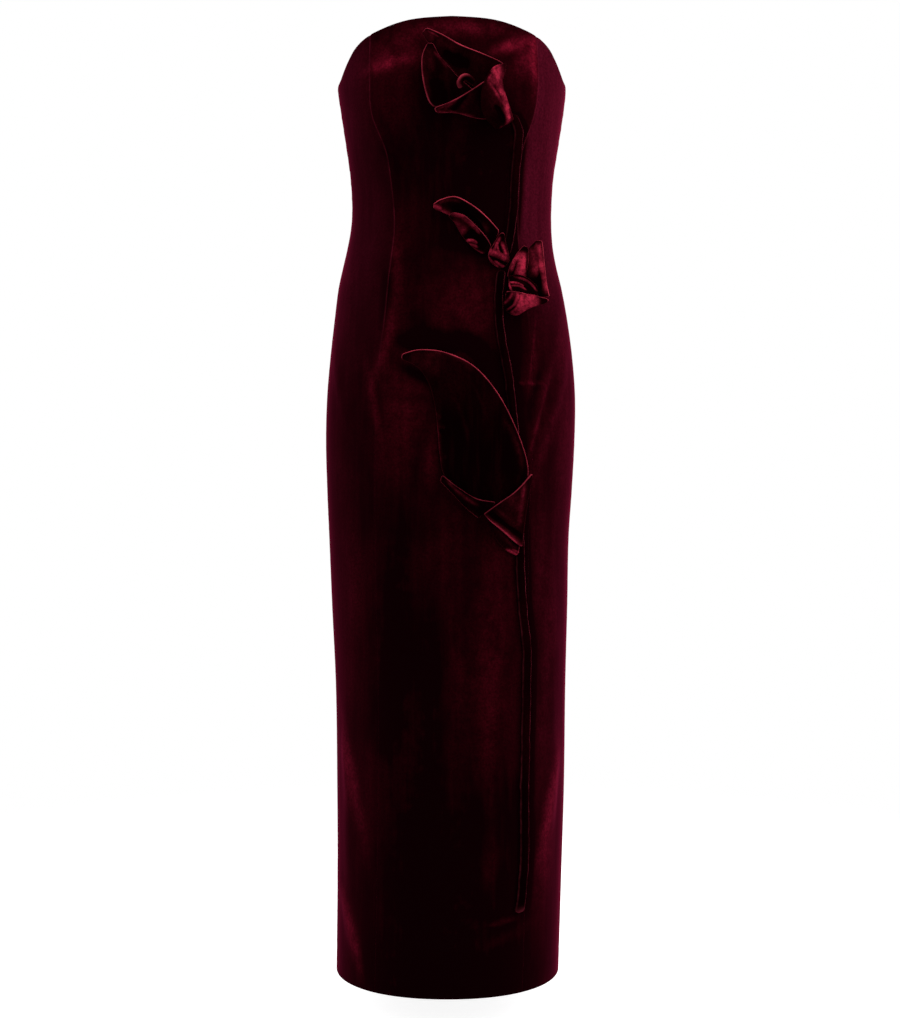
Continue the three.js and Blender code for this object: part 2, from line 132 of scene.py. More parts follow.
stemLine = table("height across", [
    [96, 71], [85, 77], [74, 81.5], [57, 81.5], [0, 80], [-33, 78.5], [-63, 76], [-90, 69.5],
    [-115, 64], [-150, 61], [-180, 62], [-244, 73], [-310, 81], [-400, 88], [-477, 90.5],
    [-530, 92], [-590, 97], [-660, 95.5], [-790, 93], [-840, 94], [-900, 91.5], [-926, 88.5],
])


def section(name, height):
    return curve(height, sections["height"], sections[name])


def seamAngle(name, height):
    return curve(height, seams["height"], seams[name])


def stemAcross(height):
    return curve(height, stemLine["height"], stemLine["across"])


# Fullness over the bust as a bell, and each fold as a bell across a sloping line that fades out
def relief(turn, height):
    aside = (np.abs(turn) - form["bustAngle"]) / form["bustSpread"]
    above = (height - form["bustHeight"]) / form["bustReach"]
    out = form["bustFull"] * np.exp(-aside ** 2 - above ** 2)
    for fold in each(folds):
        along = (fold["topHeight"] - height) / (fold["topHeight"] - fold["bottomHeight"])
        along = np.clip(along, 0, 1)
        away = turn - mix(fold["topAngle"], fold["bottomAngle"], along)
        out = out + fold["depth"] * 16 * (along * (1 - along)) ** 2 * bell(away, fold["width"])
    return out


# Rounded section, a power curve of half width and depth, moved out along its normal by the lift
def clothPoint(turn, height, lift=0.0):
    turn, height, lift = np.broadcast_arrays(
        np.asarray(turn, float), np.asarray(height, float), np.asarray(lift, float))
    angle = np.radians(turn)
    half = section("halfWidth", height)
    depth = np.where(np.cos(angle) > 0, section("frontDepth", height), section("backDepth", height))
    power = form["squareness"]
    across = signedPower(np.sin(angle), 2 / power)
    forward = signedPower(np.cos(angle), 2 / power)
    sideways = signedPower(across, power - 1) / half
    front = -signedPower(forward, power - 1) / depth
    length = np.hypot(sideways, front)
    out = lift + relief(turn, height)
    return np.stack([
        section("shift", height) + half * across + sideways / length * out,
        -depth * forward + front / length * out,
        height,
    ], axis=-1)


# How far across a point lies before folds move it, and the angle of a point of the front
def acrossOf(turn, height):
    return section("halfWidth", height) * signedPower(np.sin(np.radians(turn)), 2 / form["squareness"])


def frontTurn(across, height):
    share = np.clip(np.abs(across) / section("halfWidth", height), 0, 1)
    return np.degrees(np.sign(across) * np.arcsin(share ** (form["squareness"] / 2)))


def frontPoint(across, height, lift):
    return clothPoint(frontTurn(across, height), height, lift)


# Along and away from the straight line between two points; along is a share of its length
def lineShare(x, z, start, end):
    reach = np.array(end) - np.array(start)
    length = np.hypot(*reach)
    way = reach / length
    along = ((x - start[0]) * way[0] + (z - start[1]) * way[1]) / length
    return along, (x - start[0]) * way[1] - (z - start[1]) * way[0]


# Finer creases and drag lines that only the looks need
creases = table("side fromAcross fromHeight toAcross toHeight width depth", [
    [1, -63, -40, -70, -170, 7, 1.4], [1, -70, -150, -92, -245, 7, 1.3],
    [1, -82, -80, -88, -215, 6, -1.3], [1, -108, -222, -90, -330, 4, 1.5],
    [1, -99, -232, -82, -330, 6, -1.1], [1, 101, -150, 111, -252, 3, 0.9],
    [1, 84, -246, 114, -247, 3, 0.9], [1, 132, -214, 107, -300, 5, 1.8],
    [1, 114, -280, 99, -360, 5, 1.4], [1, 119, -210, 98, -310, 7, -1.3],
    [1, -142, -690, -124, -830, 6, 2.0], [1, -147, -880, -119, -1000, 6, 1.8],
    [1, 142, -700, 124, -850, 7, 2.2], [1, 56, -930, 90, -932, 3, 1.0],
    [1, 54, -937, 92, -940, 3, -0.8], [1, -25, -58, 58, -88, 9, -1.2],
    [1, -48, -145, -22, -212, 13, -1.5], [1, -60, -400, -78, -780, 16, -1.5],
    [1, 14, -500, -4, -920, 18, 1.2], [1, -20, -470, -34, -880, 13, -1.1],
    [1, 44, -560, 52, -900, 12, 1.2], [1, -98, 66, -60, 18, 5, -0.7],
    [1, -130, 128, -124, 50, 5, 0.8], [1, 128, 120, 120, 20, 6, 0.8],
    [1, -126, -60, -140, -210, 6, 0.9], [1, 124, -50, 138, -190, 6, 0.9],
    [1, -130, -380, -118, -600, 9, 1.4], [1, 128, -420, 138, -640, 8, 1.3],
    [-1, -70, -90, -96, -300, 8, 1.4], [-1, 66, -80, 92, -290, 8, 1.3],
    [-1, -20, -60, -70, -96, 9, -1.4], [-1, 18, -66, 74, -104, 9, -1.3],
    [-1, -104, -230, -60, -420, 7, 1.5], [-1, 106, -220, 66, -400, 7, 1.6],
    [-1, -40, -480, -56, -900, 17, 1.3], [-1, 46, -460, 58, -880, 16, 1.4],
    [-1, 8, -380, -6, -760, 13, -1.2], [-1, -134, -640, -112, -900, 7, 1.8],
    [-1, 138, -620, 116, -880, 7, 1.9], [-1, -90, 60, -60, 0, 6, -0.8],
    [-1, 92, 64, 58, 6, 6, -0.8],
])

finish = {
    "seamOverlap": 0.5, "furrow": 1.0, "furrowWidth": 2.6, "softFurrow": 0.15, "pucker": 0.28,
    "puckerPitch": 13, "puckerPlace": 5, "puckerWidth": 5, "topRoll": 0.7, "rollReach": 3.0,
    "hemLine": 30, "hemDimple": 0.25, "dimplePitch": 9, "dimpleReach": 3, "degreeWidth": 2.6,
    "creaseFade": 0.35, "creaseLight": 0.035,
}
pinch = {
    "depth": 0.7, "level": 0.8, "swing": 0.5, "pitch": 31, "stemWidth": 12, "reach": 4.0,
    "foot": (-945, -915), "top": (104, 84),
}


# Crease: a bell across the straight line between its ends, fading in and out along it
def creaseRelief(turn, height):
    across = acrossOf(turn, height)
    side = np.where(np.cos(np.radians(turn)) >= 0, 1, -1)
    out = np.zeros_like(across)
    for crease in each(creases):
        along, away = lineShare(across, height, (crease["fromAcross"], crease["fromHeight"]),
                                (crease["toAcross"], crease["toHeight"]))
        fade = smooth(0, finish["creaseFade"], along) * smooth(1, 1 - finish["creaseFade"], along)
        out = out + crease["depth"] * fade * (side == crease["side"]) * bell(away, crease["width"])
    return out


# Cloth pinched by the stem's stitches: a narrow trough along both of its sides
def stemPinch(turn, height):
    away = np.abs(acrossOf(turn, height) - stemAcross(height)) - pinch["stemWidth"] / 2
    within = smooth(*pinch["foot"], height) * smooth(*pinch["top"], height) * (np.cos(np.radians(turn)) > 0)
    uneven = pinch["level"] + pinch["swing"] * wobble(height, pinch["pitch"], 3)
    return -pinch["depth"] * within * uneven * bell(away, pinch["reach"])


# Shells: a middle surface over u and v, thickened to both sides with a half-round edge. Their grid
# has rim lines round the edge and the next ones at shares of reach, each within most of the width;
# coarse is the grid that measures the surface, and the bead lies beadPlace from the edge
shellGrid = {
    "rim": 6, "most": 0.2, "reach": 9.0, "next": (0.1, 0.22, 0.36, 0.54, 0.76, 1.0), "coarse": 33,
    "beadPlace": 2.0, "beadWidth": 1.6,
}


# Distances across a width: close together round the edge, wider beyond it, even in the middle
def spread(width, radius, count):
    width = np.asarray(width, float)[..., None]
    most = shellGrid["most"] * width
    radius = np.minimum(radius, most)
    rim = radius * (1 - np.cos(np.linspace(0, np.pi / 2, shellGrid["rim"])))
    near = radius + np.minimum(shellGrid["reach"], most) * np.array(shellGrid["next"])
    edge = np.concatenate([rim, near], axis=-1)
    share = np.linspace(0, 1, count + 2)[1:-1]
    inner = mix(edge[..., -1:], width - edge[..., -1:], share)
    return np.concatenate([edge, inner, width - edge[..., ::-1]], axis=-1)


def gridLengths(points, axis):  # length of each grid line
    return np.linalg.norm(np.diff(points, axis=axis), axis=-1).sum(axis=axis)


# Grid of u and v whose lines crowd at the edges by real distance, with each point's distance to an
# edge both ways, and the grid's widths and lengths
def edgeGrid(middle, radius, columns, rows):
    share = np.linspace(0, 1, shellGrid["coarse"])
    coarse = middle(share[None, :] + 0 * share[:, None], share[:, None] + 0 * share[None, :])
    widths = gridLengths(coarse, 1)
    lengths = gridLengths(coarse, 0)
    vNominal = spread(lengths.mean(), radius, rows) / lengths.mean()
    width = np.interp(vNominal, share, widths)
    u = spread(width, radius, columns) / width[:, None]
    length = np.interp(u[len(u) // 2], share, lengths)
    v = (spread(length, radius, rows) / length[:, None]).T
    acrossEdge = np.minimum(u, 1 - u) * width[:, None]
    downEdge = np.minimum(v, 1 - v) * length[None, :]
    return u, v, acrossEdge, downEdge, width, length


# Half the thickness by distance d to the edge: a half circle of that radius, then level, with a
# slight bead that the turned seam inside raises
def halfThickness(distance, radius, limit, bead):
    radius = np.minimum(radius, limit)
    inside = np.clip(1 - distance / radius, 0, 1)
    rounded = radius * np.sqrt(1 - inside ** 2)
    return rounded * (1 + bead * bell(distance - shellGrid["beadPlace"], shellGrid["beadWidth"]))


def gridNormals(points):
    down, along = np.gradient(points, axis=0), np.gradient(points, axis=1)
    normal = np.cross(along, down)
    return normal / np.maximum(np.linalg.norm(normal, axis=-1, keepdims=True), 1e-12)


def newObject(name, vertices, quads, attributes, uv, materials, materialIndex=None):
    mesh = bpy.data.meshes.new(name)
    mesh.vertices.add(len(vertices))
    mesh.vertices.foreach_set("co", (vertices * metre).astype(np.float32).ravel())
    mesh.loops.add(quads.size)
    mesh.loops.foreach_set("vertex_index", quads.ravel().astype(np.int32))
    mesh.polygons.add(len(quads))
    mesh.polygons.foreach_set("loop_start", np.arange(0, quads.size, 4, dtype=np.int32))
    mesh.polygons.foreach_set("loop_total", np.full(len(quads), 4, dtype=np.int32))
    mesh.polygons.foreach_set("use_smooth", np.ones(len(quads), bool))
    for material in materials:
        mesh.materials.append(material)
    if materialIndex is not None:
        mesh.polygons.foreach_set("material_index", materialIndex.astype(np.int32))
    layer = mesh.uv_layers.new(name="cloth")
    layer.data.foreach_set("uv", (uv * metre)[quads.ravel()].astype(np.float32).ravel())
    for key, values in attributes.items():
        mesh.attributes.new(key, "FLOAT", "POINT").data.foreach_set("value", values.astype(np.float32))
    mesh.update(calc_edges=True)
    mesh.validate()
    obj = bpy.data.objects.new(name, mesh)
    bpy.context.collection.objects.link(obj)
    return obj


# Closed shell: outer and inner grids share their outline, so the edge has no open seam
def shell(name, middle, values, materials, paint, inside=False):
    radius = values["thickness"] / 2
    u, v, acrossEdge, downEdge, width, length = edgeGrid(middle, radius, values["columns"], values["rows"])
    points = middle(u, v)
    normal = gridNormals(points)
    nearest = np.minimum(acrossEdge, downEdge)
    limit = shellGrid["most"] * np.minimum(width[:, None], length[None, :])
    half = halfThickness(nearest, radius, limit, values.get("bead", 0))
    half[0, :] = half[-1, :] = 0
    half[:, 0] = half[:, -1] = 0
    outer = points + normal * half[..., None]
    inner = points - normal * half[..., None]
    rows, columns = u.shape
    index = np.arange(rows * columns).reshape(rows, columns)
    innerIndex = index.copy()
    innerIndex[1:-1, 1:-1] = rows * columns + np.arange((rows - 2) * (columns - 2)).reshape(rows - 2, -1)

    def cells(i):
        return np.stack([i[:-1, :-1], i[:-1, 1:], i[1:, 1:], i[1:, :-1]], axis=-1).reshape(-1, 4)

    quads = np.concatenate([cells(index), cells(innerIndex)[:, ::-1]])
    core = (slice(1, -1), slice(1, -1))

    def both(grid):
        flat = grid.reshape(rows * columns, -1)
        return np.concatenate([flat, grid[core].reshape(-1, flat.shape[1])])

    vertices = np.concatenate([outer.reshape(-1, 3), inner[core].reshape(-1, 3)])
    uv = both(np.stack([u * width[:, None], -v * length[None, :]], axis=-1))
    # Painted highlight along the edges, partly the pile splayed at the fold: a gain for each edge, within
    # rimWidth of it
    byEdge = (u * width[:, None], (1 - u) * width[:, None], v * length, (1 - v) * length)
    edge = sum(gain * np.exp(-(far / values["rimWidth"]) ** 4) for gain, far in zip(values["rim"], byEdge))
    painted = paint(u, v)
    painted["paintedEdgeLight"] = np.clip(edge, 0, 1) * painted.get("edgeShare", 1)
    attributes = {key: both(painted[key])[:, 0] for key in ("paintedEdgeLight", "napAndLight", "cool") if key in painted}
    side = np.repeat([0, 1], len(quads) // 2) if inside else None
    return newObject(name, vertices, quads, attributes, uv, materials, side)


# Materials
def feed(socket, value):  # a socket takes a number, a colour or another node's output
    if isinstance(value, (int, float, tuple)):
        socket.default_value = value
    else:
        socket.id_data.links.new(value, socket)


def feedAll(node, **values):
    for key, value in values.items():
        feed(node.inputs[key.replace("_", " ")], value)


def newNode(tree, kind, **values):
    node = tree.nodes.new("ShaderNode" + kind)
    feedAll(node, **values)
    return node


def newGroup(name, inputs, outputs):
    group = bpy.data.node_groups.new(name, "ShaderNodeTree")
    for way, sockets in (("INPUT", inputs), ("OUTPUT", outputs)):
        for label, kind in sockets.items():
            group.interface.new_socket(label, in_out=way, socket_type="NodeSocket" + kind)
    return group, group.nodes.new("NodeGroupInput").outputs, group.nodes.new("NodeGroupOutput")


def mathNode(operation, *values, clamp=False):
    node = newNode(values[0].id_data, "Math")
    node.operation, node.use_clamp = operation, clamp
    for socket, value in zip(node.inputs, values):
        feed(socket, value)
    return node.outputs[0]


def times(a, b, clamp=False):
    return mathNode("MULTIPLY", a, b, clamp=clamp)


def plus(a, b, clamp=False):
    return mathNode("ADD", a, b, clamp=clamp)


def mixColour(factor, a, b):
    node = newNode(factor.id_data, "Mix")
    node.data_type = "RGBA"
    for i, value in ((0, factor), (6, a), (7, b)):
        feed(node.inputs[i], value)
    return node.outputs[2]


def mixFloat(factor, a, b):
    node = newNode(factor.id_data, "Mix")
    for i, value in ((0, factor), (2, a), (3, b)):
        feed(node.inputs[i], value)
    return node.outputs[0]


def noiseNode(vector, scale, detail=2.0, roughness=0.5, stretch=(1, 1, 1)):
    mapping = newNode(vector.id_data, "Mapping", Vector=vector, Scale=stretch)
    return newNode(vector.id_data, "TexNoise", Vector=mapping.outputs[0], Scale=scale, Detail=detail,
                   Roughness=roughness).outputs["Fac"]


def rangeNode(value, *limits):  # an S from the first two limits to the last two
    node = newNode(value.id_data, "MapRange", Value=value)
    node.interpolation_type = "SMOOTHSTEP"
    for i, limit in enumerate(limits):
        feed(node.inputs[1 + i], limit)
    return node.outputs[0]


def attributeNode(tree, name):
    node = newNode(tree, "Attribute")
    node.attribute_name = name
    return node.outputs["Fac"]


def newMaterial(name, **values):
    material = bpy.data.materials.new(name)
    material.use_nodes = True
    shader = material.node_tree.nodes["Principled BSDF"]
    feedAll(shader, **values)
    return material, material.node_tree, shader


def addBump(shader, height, strength, distance):
    bump = newNode(shader.id_data, "Bump", Height=height, Strength=strength, Distance=distance)
    feed(shader.inputs["Normal"], bump.outputs["Normal"])


# Noises of the pile: scale, detail, roughness and stretch of each, then the range it is read by
pileNoises = {
    "cloud": ((13, 3, 0.55, (1, 1, 0.5)), (0.38, 0.68, 0, 1)),
    "streak": ((110, 3, 0.55, (1, 1, 0.07)), (0.4, 0.7, 0, 1)),
    "crush": ((60, 3, 0.6), (0.3, 0.7, 0.45, 1.5)),
    "combed": ((120, 3, 0.55, (1, 1, 0.05)), (0.3, 0.7, 0.8, 1.2)),
    "mottle": ((330, 4, 0.7), (0.3, 0.7, 0.55, 1.45)),
    "broken": ((60, 3, 0.6), (0.25, 0.7, 0.35, 1.0)),
}
pileGrain = {
    "noise": (900, 2, 0.6), "range": (0.2, 0.8, 0.7, 1.3), "streakShare": 0.5, "roughness": (0.2, 0.5),
    "grainHeight": 0.25, "streakHeight": 0.3,
}


# Pile velvet: deep colour where the pile stands, lit colour where it is brushed over and where
# highlights are painted, rim colour for the edges' painted highlight and splayed pile, in soft cloudy
# patches and streaks, with a fine pile grain for the bump
def velvetPile():
    group, given, end = newGroup("velvetPile", {
        "Vector": "Vector", "Deep": "Color", "Lit": "Color", "Rim": "Color", "Cool Deep": "Color",
        "Cool Lit": "Color", "Nap": "Float", "Cool": "Float", "Turned Edge": "Float", "Cloud": "Float",
    }, {"Color": "Color", "Roughness": "Float", "Height": "Float"})
    vector = given["Vector"]
    read = {key: rangeNode(noiseNode(vector, *noise), *limits)
            for key, (noise, limits) in pileNoises.items()}
    grain = noiseNode(vector, *pileGrain["noise"])
    pile = times(plus(read["cloud"], times(read["streak"], pileGrain["streakShare"])), given["Cloud"])
    uneven = mixFloat(given["Cool"], read["crush"], read["combed"])
    # brushed pile and painted highlights and shadows from the attribute, on top of the random pile tone
    napAndLight = plus(pile, times(given["Nap"], uneven), clamp=True)
    fine = times(read["mottle"], rangeNode(grain, *pileGrain["range"]))
    napLightGrain = times(napAndLight, fine, clamp=True)
    warm = mixColour(napLightGrain, given["Deep"], given["Lit"])
    cool = mixColour(napLightGrain, given["Cool Deep"], given["Cool Lit"])
    # painted edge highlight from the edge attribute, broken up by noise
    edge = times(given["Turned Edge"], read["broken"], clamp=True)
    streaks = times(read["streak"], pileGrain["streakHeight"])
    feedAll(end, Color=mixColour(edge, mixColour(given["Cool"], warm, cool), given["Rim"]),
            Roughness=mathNode("MULTIPLY_ADD", grain, *pileGrain["roughness"]),
            Height=plus(times(grain, pileGrain["grainHeight"]), streaks))
    return group


weaveNoise = {"noise": (35, 3), "range": (0.3, 0.7, 0.6, 1.0)}


# Knitted ground of the velvet, seen inside: fine ribs both ways
def groundWeave():
    group, given, end = newGroup(
        "groundWeave", {"Vector": "Vector", "Thread": "Color", "Gap": "Color", "Scale": "Float"},
        {"Color": "Color", "Height": "Float"})
    waves = []
    for direction in ("X", "Y"):
        wave = newNode(group, "TexWave", Vector=given["Vector"], Scale=given["Scale"])
        wave.bands_direction = direction
        waves.append(wave.outputs["Fac"])
    thread = times(*waves)
    uneven = rangeNode(noiseNode(given["Vector"], *weaveNoise["noise"]), *weaveNoise["range"])
    feedAll(end, Color=mixColour(times(thread, uneven), given["Gap"], given["Thread"]), Height=thread)
    return group


pileGroup, weaveGroup = velvetPile(), groundWeave()


def velvet(name, look):
    tint = (*look["sheenTint"], 1)
    material, tree, shader = newMaterial(
        name, Sheen_Weight=look["sheen"], Sheen_Roughness=look["sheenRoughness"], Sheen_Tint=tint,
        Specular_IOR_Level=look["specular"], Specular_Tint=tint)
    pile = newNode(tree, "Group")
    pile.node_tree = pileGroup
    for label in ("deep", "lit", "rim", "cool deep", "cool lit"):
        feed(pile.inputs[label.title()], (*look[label], 1))
    feedAll(pile, Vector=newNode(tree, "TexCoord").outputs["Object"], Cloud=look["cloud"],
            Nap=attributeNode(tree, "napAndLight"), Cool=attributeNode(tree, "cool"),
            Turned_Edge=attributeNode(tree, "paintedEdgeLight"))
    feedAll(shader, Base_Color=pile.outputs["Color"], Roughness=pile.outputs["Roughness"])
    addBump(shader, pile.outputs["Height"], look["bump"], look["bumpDepth"])
    return material


def clothBack(name, look):
    material, tree, shader = newMaterial(
        name, Roughness=look["roughness"], Specular_IOR_Level=look["specular"])
    place, ribs = newNode(tree, "UVMap"), newNode(tree, "Group")
    place.uv_map, ribs.node_tree = "cloth", weaveGroup
    feedAll(ribs, Vector=place.outputs["UV"], Thread=look["thread"], Gap=look["gap"], Scale=look["scale"])
    feed(shader.inputs["Base Color"], ribs.outputs["Color"])
    addBump(shader, ribs.outputs["Height"], look["bump"], look["bumpDepth"])
    return material


# deep is the pile's own colour; lit is what brushed pile and painted highlights mix towards; rim is the
# painted edge highlight; cool deep and cool lit are the side panels' paler tone, partly painted light
looks = {
    "deep": (0.003, 0.00012, 0.00045), "lit": (0.12, 0.0036, 0.0125), "rim": (0.16, 0.012, 0.026),
    "cool deep": (0.010, 0.0005, 0.0018), "cool lit": (0.13, 0.006, 0.0205),
    "sheen": 1.0, "sheenRoughness": 0.3, "sheenTint": (0.36, 0.018, 0.068), "specular": 0.0,
    "cloud": 0.05, "bump": 0.35, "bumpDepth": 0.0006,
}
# petals and stem keep little sheen: their highlights are painted into the lit and rim colours instead
petalLooks = {
    **looks, "deep": (0.0016, 0.00008, 0.0002), "lit": (0.34, 0.016, 0.042), "rim": (0.4, 0.034, 0.06),
    "cloud": 0.015, "sheen": 0.1, "sheenTint": (0.5, 0.03, 0.08),
}
stemLooks = {
    **looks, "deep": (0.0016, 0.00008, 0.0002), "rim": (0.3, 0.034, 0.056), "cloud": 0.02, "sheen": 0.12,
}
backLooks = {
    "thread": (0.03, 0.004, 0.008, 1), "gap": (0.01, 0.001, 0.002, 1), "scale": 420.0,
    "roughness": 0.85, "specular": 0.1, "bump": 0.3, "bumpDepth": 0.0003,
}
panelVelvet = velvet("panelVelvet", looks)
petalVelvet = velvet("petalVelvet", petalLooks)
stemVelvet = velvet("stemVelvet", stemLooks)
backCloth = clothBack("clothBack", backLooks)
print("materials made")

# Panels
# Painted highlights (positive gain) and painted shadows (negative gain) as soft ovals on the panels, with
# some brushed pile among them
panelNap = table("across height tilt halfLength halfWidth gain", [
    [-80, 160, 10, 26, 7, 0.42], [-68, 178, 20, 45, 22, 0.18], [-64, 112, 85, 40, 26, 0.03],
    [76, 184, 26, 24, 7, 0.62], [104, 168, 88, 34, 5, 0.6], [92, 165, 60, 26, 12, 0.22],
    [20, 205, 0, 60, 10, 0.25], [24, -150, 70, 50, 34, 0.13], [-66, -140, 80, 60, 10, 0.01],
    [-70, -80, 88, 36, 6, 0.1], [-78, -165, 78, 46, 7, 0.12], [-90, -215, 68, 36, 6, 0.1],
    [-40, -140, 80, 55, 24, 0.02], [-60, -275, 85, 90, 32, 0.1], [110, -200, 80, 80, 8, 0.04],
    [-99, -275, 102, 46, 4, 0.12], [-88, -560, 88, 170, 30, -0.02], [58, -520, 88, 130, 22, 0.06],
    [44, -660, 88, 110, 26, 0.06], [129, -790, 80, 75, 6, 0.42], [124, -620, 86, 130, 9, 0.08],
    [-130, -750, 102, 75, 6, 0.3], [-127, -955, 106, 50, 6, 0.35], [0, -880, 88, 170, 66, -0.07],
    [0, -1010, 0, 130, 34, -0.08], [125, -320, 72, 60, 7, 0.12], [40, 40, 85, 70, 28, -0.08],
    [60, -960, 20, 40, 10, 0.05], [66, 40, 80, 60, 10, -0.05], [-22, -197, -2, 38, 12, -0.3],
    [46, -222, -48, 46, 10, -0.3], [-50, -236, -30, 26, 8, -0.12], [-25, -350, 88, 34, 9, 0.1],
    [50, -868, 85, 45, 14, 0.06], [66, -936, 4, 14, 2.5, 0.16], [101, -249, 1, 19, 1.3, 0.26],
    [106, -200, 84, 46, 1.2, 0.14], [112, -300, 76, 60, 1.8, 0.16], [84, -196, 88, 60, 5, -0.1],
    [124, -870, 84, 50, 8, 0.16], [4, -450, 88, 60, 22, 0.05], [146, -195, 84, 50, 10, 0.14],
    [151, -310, 88, 80, 10, 0.12], [116, -490, 88, 80, 8, 0.08], [15, -76, -8, 34, 4, -0.05],
])


sideTone = {
    "sharpAbove": -80, "softBelow": -270, "leftSharpAbove": -50, "leftSoftBelow": -210, "softFrom": -14,
    "softReach": 46, "softShare": 0.8, "napAndLight": 0.04, "leftNap": 0.14, "leftNapTurn": (125, 88),
    "frontTurn": (87, 74), "backTurn": (93, 112), "backShare": 0.45, "rightSeamDark": 0.6, "darkReach": 12,
    "edgeDark": 0.4, "edgeCool": 0.8, "darkHeight": (-500, -840), "darkFrom": (62, 80), "darkTo": (140, 90),
    "edgeShare": 0.03,
}
stemShade = {"napAndLight": 0.3, "cool": 0.8, "place": 9, "reach": 4, "foot": (-935, -905), "top": (100, 80)}


# Side panels painted paler and cooler, partly their own tone and partly painted light that they
# catch: a sharp change at the seams above the hip that turns soft below it, with painted shade beside
# the wearer's right front seam
def panelTone(turn, height):
    front = np.abs(turn) < 90
    past = np.where(front, np.abs(turn) - np.where(turn > 0, leftSeam(height), -frontSeam(height)),
                    180 - np.abs(turn) - seamAngle("back", height))
    crisp = np.where(turn > 0, smooth(sideTone["leftSoftBelow"], sideTone["leftSharpAbove"], height),
                     smooth(sideTone["softBelow"], sideTone["sharpAbove"], height))
    soft = sideTone["softShare"] * smooth(sideTone["softFrom"], sideTone["softReach"], past)
    cool = mix(soft, (past > 0) * 1.0, crisp * front)
    dark = sideTone["rightSeamDark"] * (turn < 0) * front * crisp * bell(past, sideTone["darkReach"])
    return cool * (1 - dark), crisp


# Painted highlights and shadows as soft ovals in the dress's own across and height, with some
# brushed pile; then the painted shade beside the stem and at the low sides, and painted light on the creases
def panelPaint(turn, height):
    across, aside = acrossOf(turn, height), np.abs(turn)
    front = np.cos(np.radians(turn)) > 0
    cool, crisp = panelTone(turn, height)
    # painted light on the wearer's left side panel
    leftNap = sideTone["leftNap"] * (turn > 0) * smooth(*sideTone["leftNapTurn"], aside) * crisp
    total = cool * (sideTone["napAndLight"] + leftNap)
    facing = np.where(front, smooth(*sideTone["frontTurn"], aside),
                      sideTone["backShare"] * smooth(*sideTone["backTurn"], aside))
    # painted highlights and shadows of the ovals
    for patch in each(panelNap):
        tilt = math.radians(patch["tilt"])
        x, z = across - patch["across"], height - patch["height"]
        along = (x * math.cos(tilt) + z * math.sin(tilt)) / patch["halfLength"]
        away = (-x * math.sin(tilt) + z * math.cos(tilt)) / patch["halfWidth"]
        total = total + patch["gain"] * np.exp(-along ** 2 - away ** 2) * facing
    # painted shade on the cloth just beside the stem
    shade = bell(across - stemAcross(height) - stemShade["place"], stemShade["reach"]) * front
    shade = shade * smooth(*stemShade["foot"], height) * smooth(*stemShade["top"], height)
    # painted shade on the sides of the skirt, growing towards the hem
    dark = smooth(*sideTone["darkHeight"], height)
    dark = dark * smooth(*sideTone["darkFrom"], aside) * smooth(*sideTone["darkTo"], aside)
    # painted highlight on the crease ridges and painted shade in their troughs
    total = total + finish["creaseLight"] * creaseRelief(turn, height)
    total = total - stemShade["napAndLight"] * shade - sideTone["edgeDark"] * dark
    cool = cool * (1 - stemShade["cool"] * shade) * (1 - sideTone["edgeCool"] * dark)
    return {"napAndLight": total, "cool": cool, "edgeShare": mix(sideTone["edgeShare"], 1, crisp)}


def frontSeam(height):
    return -seamAngle("frontRight", height)


def leftSeam(height):
    return seamAngle("frontLeft", height)


def backSeam(height):
    return 180 - seamAngle("back", height)


def constantAngle(angle):
    return lambda height: angle + 0 * height


panelEdges = {  # left edge as seen from outside, right edge, columns and rows
    "front_centre": (frontSeam, leftSeam, 84, 330),
    "side_front_right": (constantAngle(-90), frontSeam, 34, 300),
    "side_front_left": (leftSeam, constantAngle(90), 34, 300),
    "side_back_right": (lambda h: -backSeam(h), constantAngle(-90), 28, 200),
    "side_back_left": (constantAngle(90), backSeam, 28, 200),
    "centre_back_right": (constantAngle(-180), lambda h: -backSeam(h), 26, 200),
    "centre_back_left": (backSeam, constantAngle(180), 26, 200),
}


# A panel: the angle runs from seam to seam, the height from the neckline to the hem
def panelPlace(fromSeam, toSeam, u, v):
    top = np.full_like(u, neckline["height"][0])
    for _ in range(4):  # the seams lean, so the neckline's height and angle are found in steps
        top = curve(np.abs(mix(fromSeam(top), toSeam(top), u)), neckline["angle"], neckline["height"])
    height = mix(top, form["hemHeight"], v)
    past = np.degrees(finish["seamOverlap"] / 2 / section("halfWidth", height))
    return mix(fromSeam(height) - past, toSeam(height) + past, u), height, top


def panelSurface(fromSeam, toSeam, seed):
    def middle(u, v):
        u = 1 - u  # columns run towards the wearer's right, so that the normal points out
        turn, height, top = panelPlace(fromSeam, toSeam, u, v)
        span = np.radians(toSeam(height) - fromSeam(height)) * section("halfWidth", height)
        fromLeft, fromRight = u * span, (1 - u) * span
        seam = np.minimum(fromLeft, fromRight)
        crisp = mix(finish["softFurrow"], 1, smooth(sideTone["softBelow"], sideTone["sharpAbove"], height))
        furrow = -finish["furrow"] * crisp * bell(seam, finish["furrowWidth"])
        wave = wobble(height, finish["puckerPitch"], seed + (fromLeft < fromRight) * 2.3)
        pucker = finish["pucker"] * wave * bell(seam - finish["puckerPlace"], finish["puckerWidth"])
        roll = -finish["topRoll"] * np.exp(-(top - height) / finish["rollReach"])
        fromLine = height - form["hemHeight"] - finish["hemLine"]
        dimples = 1 + wobble(turn * finish["degreeWidth"], finish["dimplePitch"], seed)
        hem = -finish["hemDimple"] * dimples * bell(fromLine, finish["dimpleReach"])
        fine = creaseRelief(turn, height) + stemPinch(turn, height)
        return clothPoint(turn, height, -form["wall"] / 2 + furrow + pucker + roll + hem + fine)
    return middle


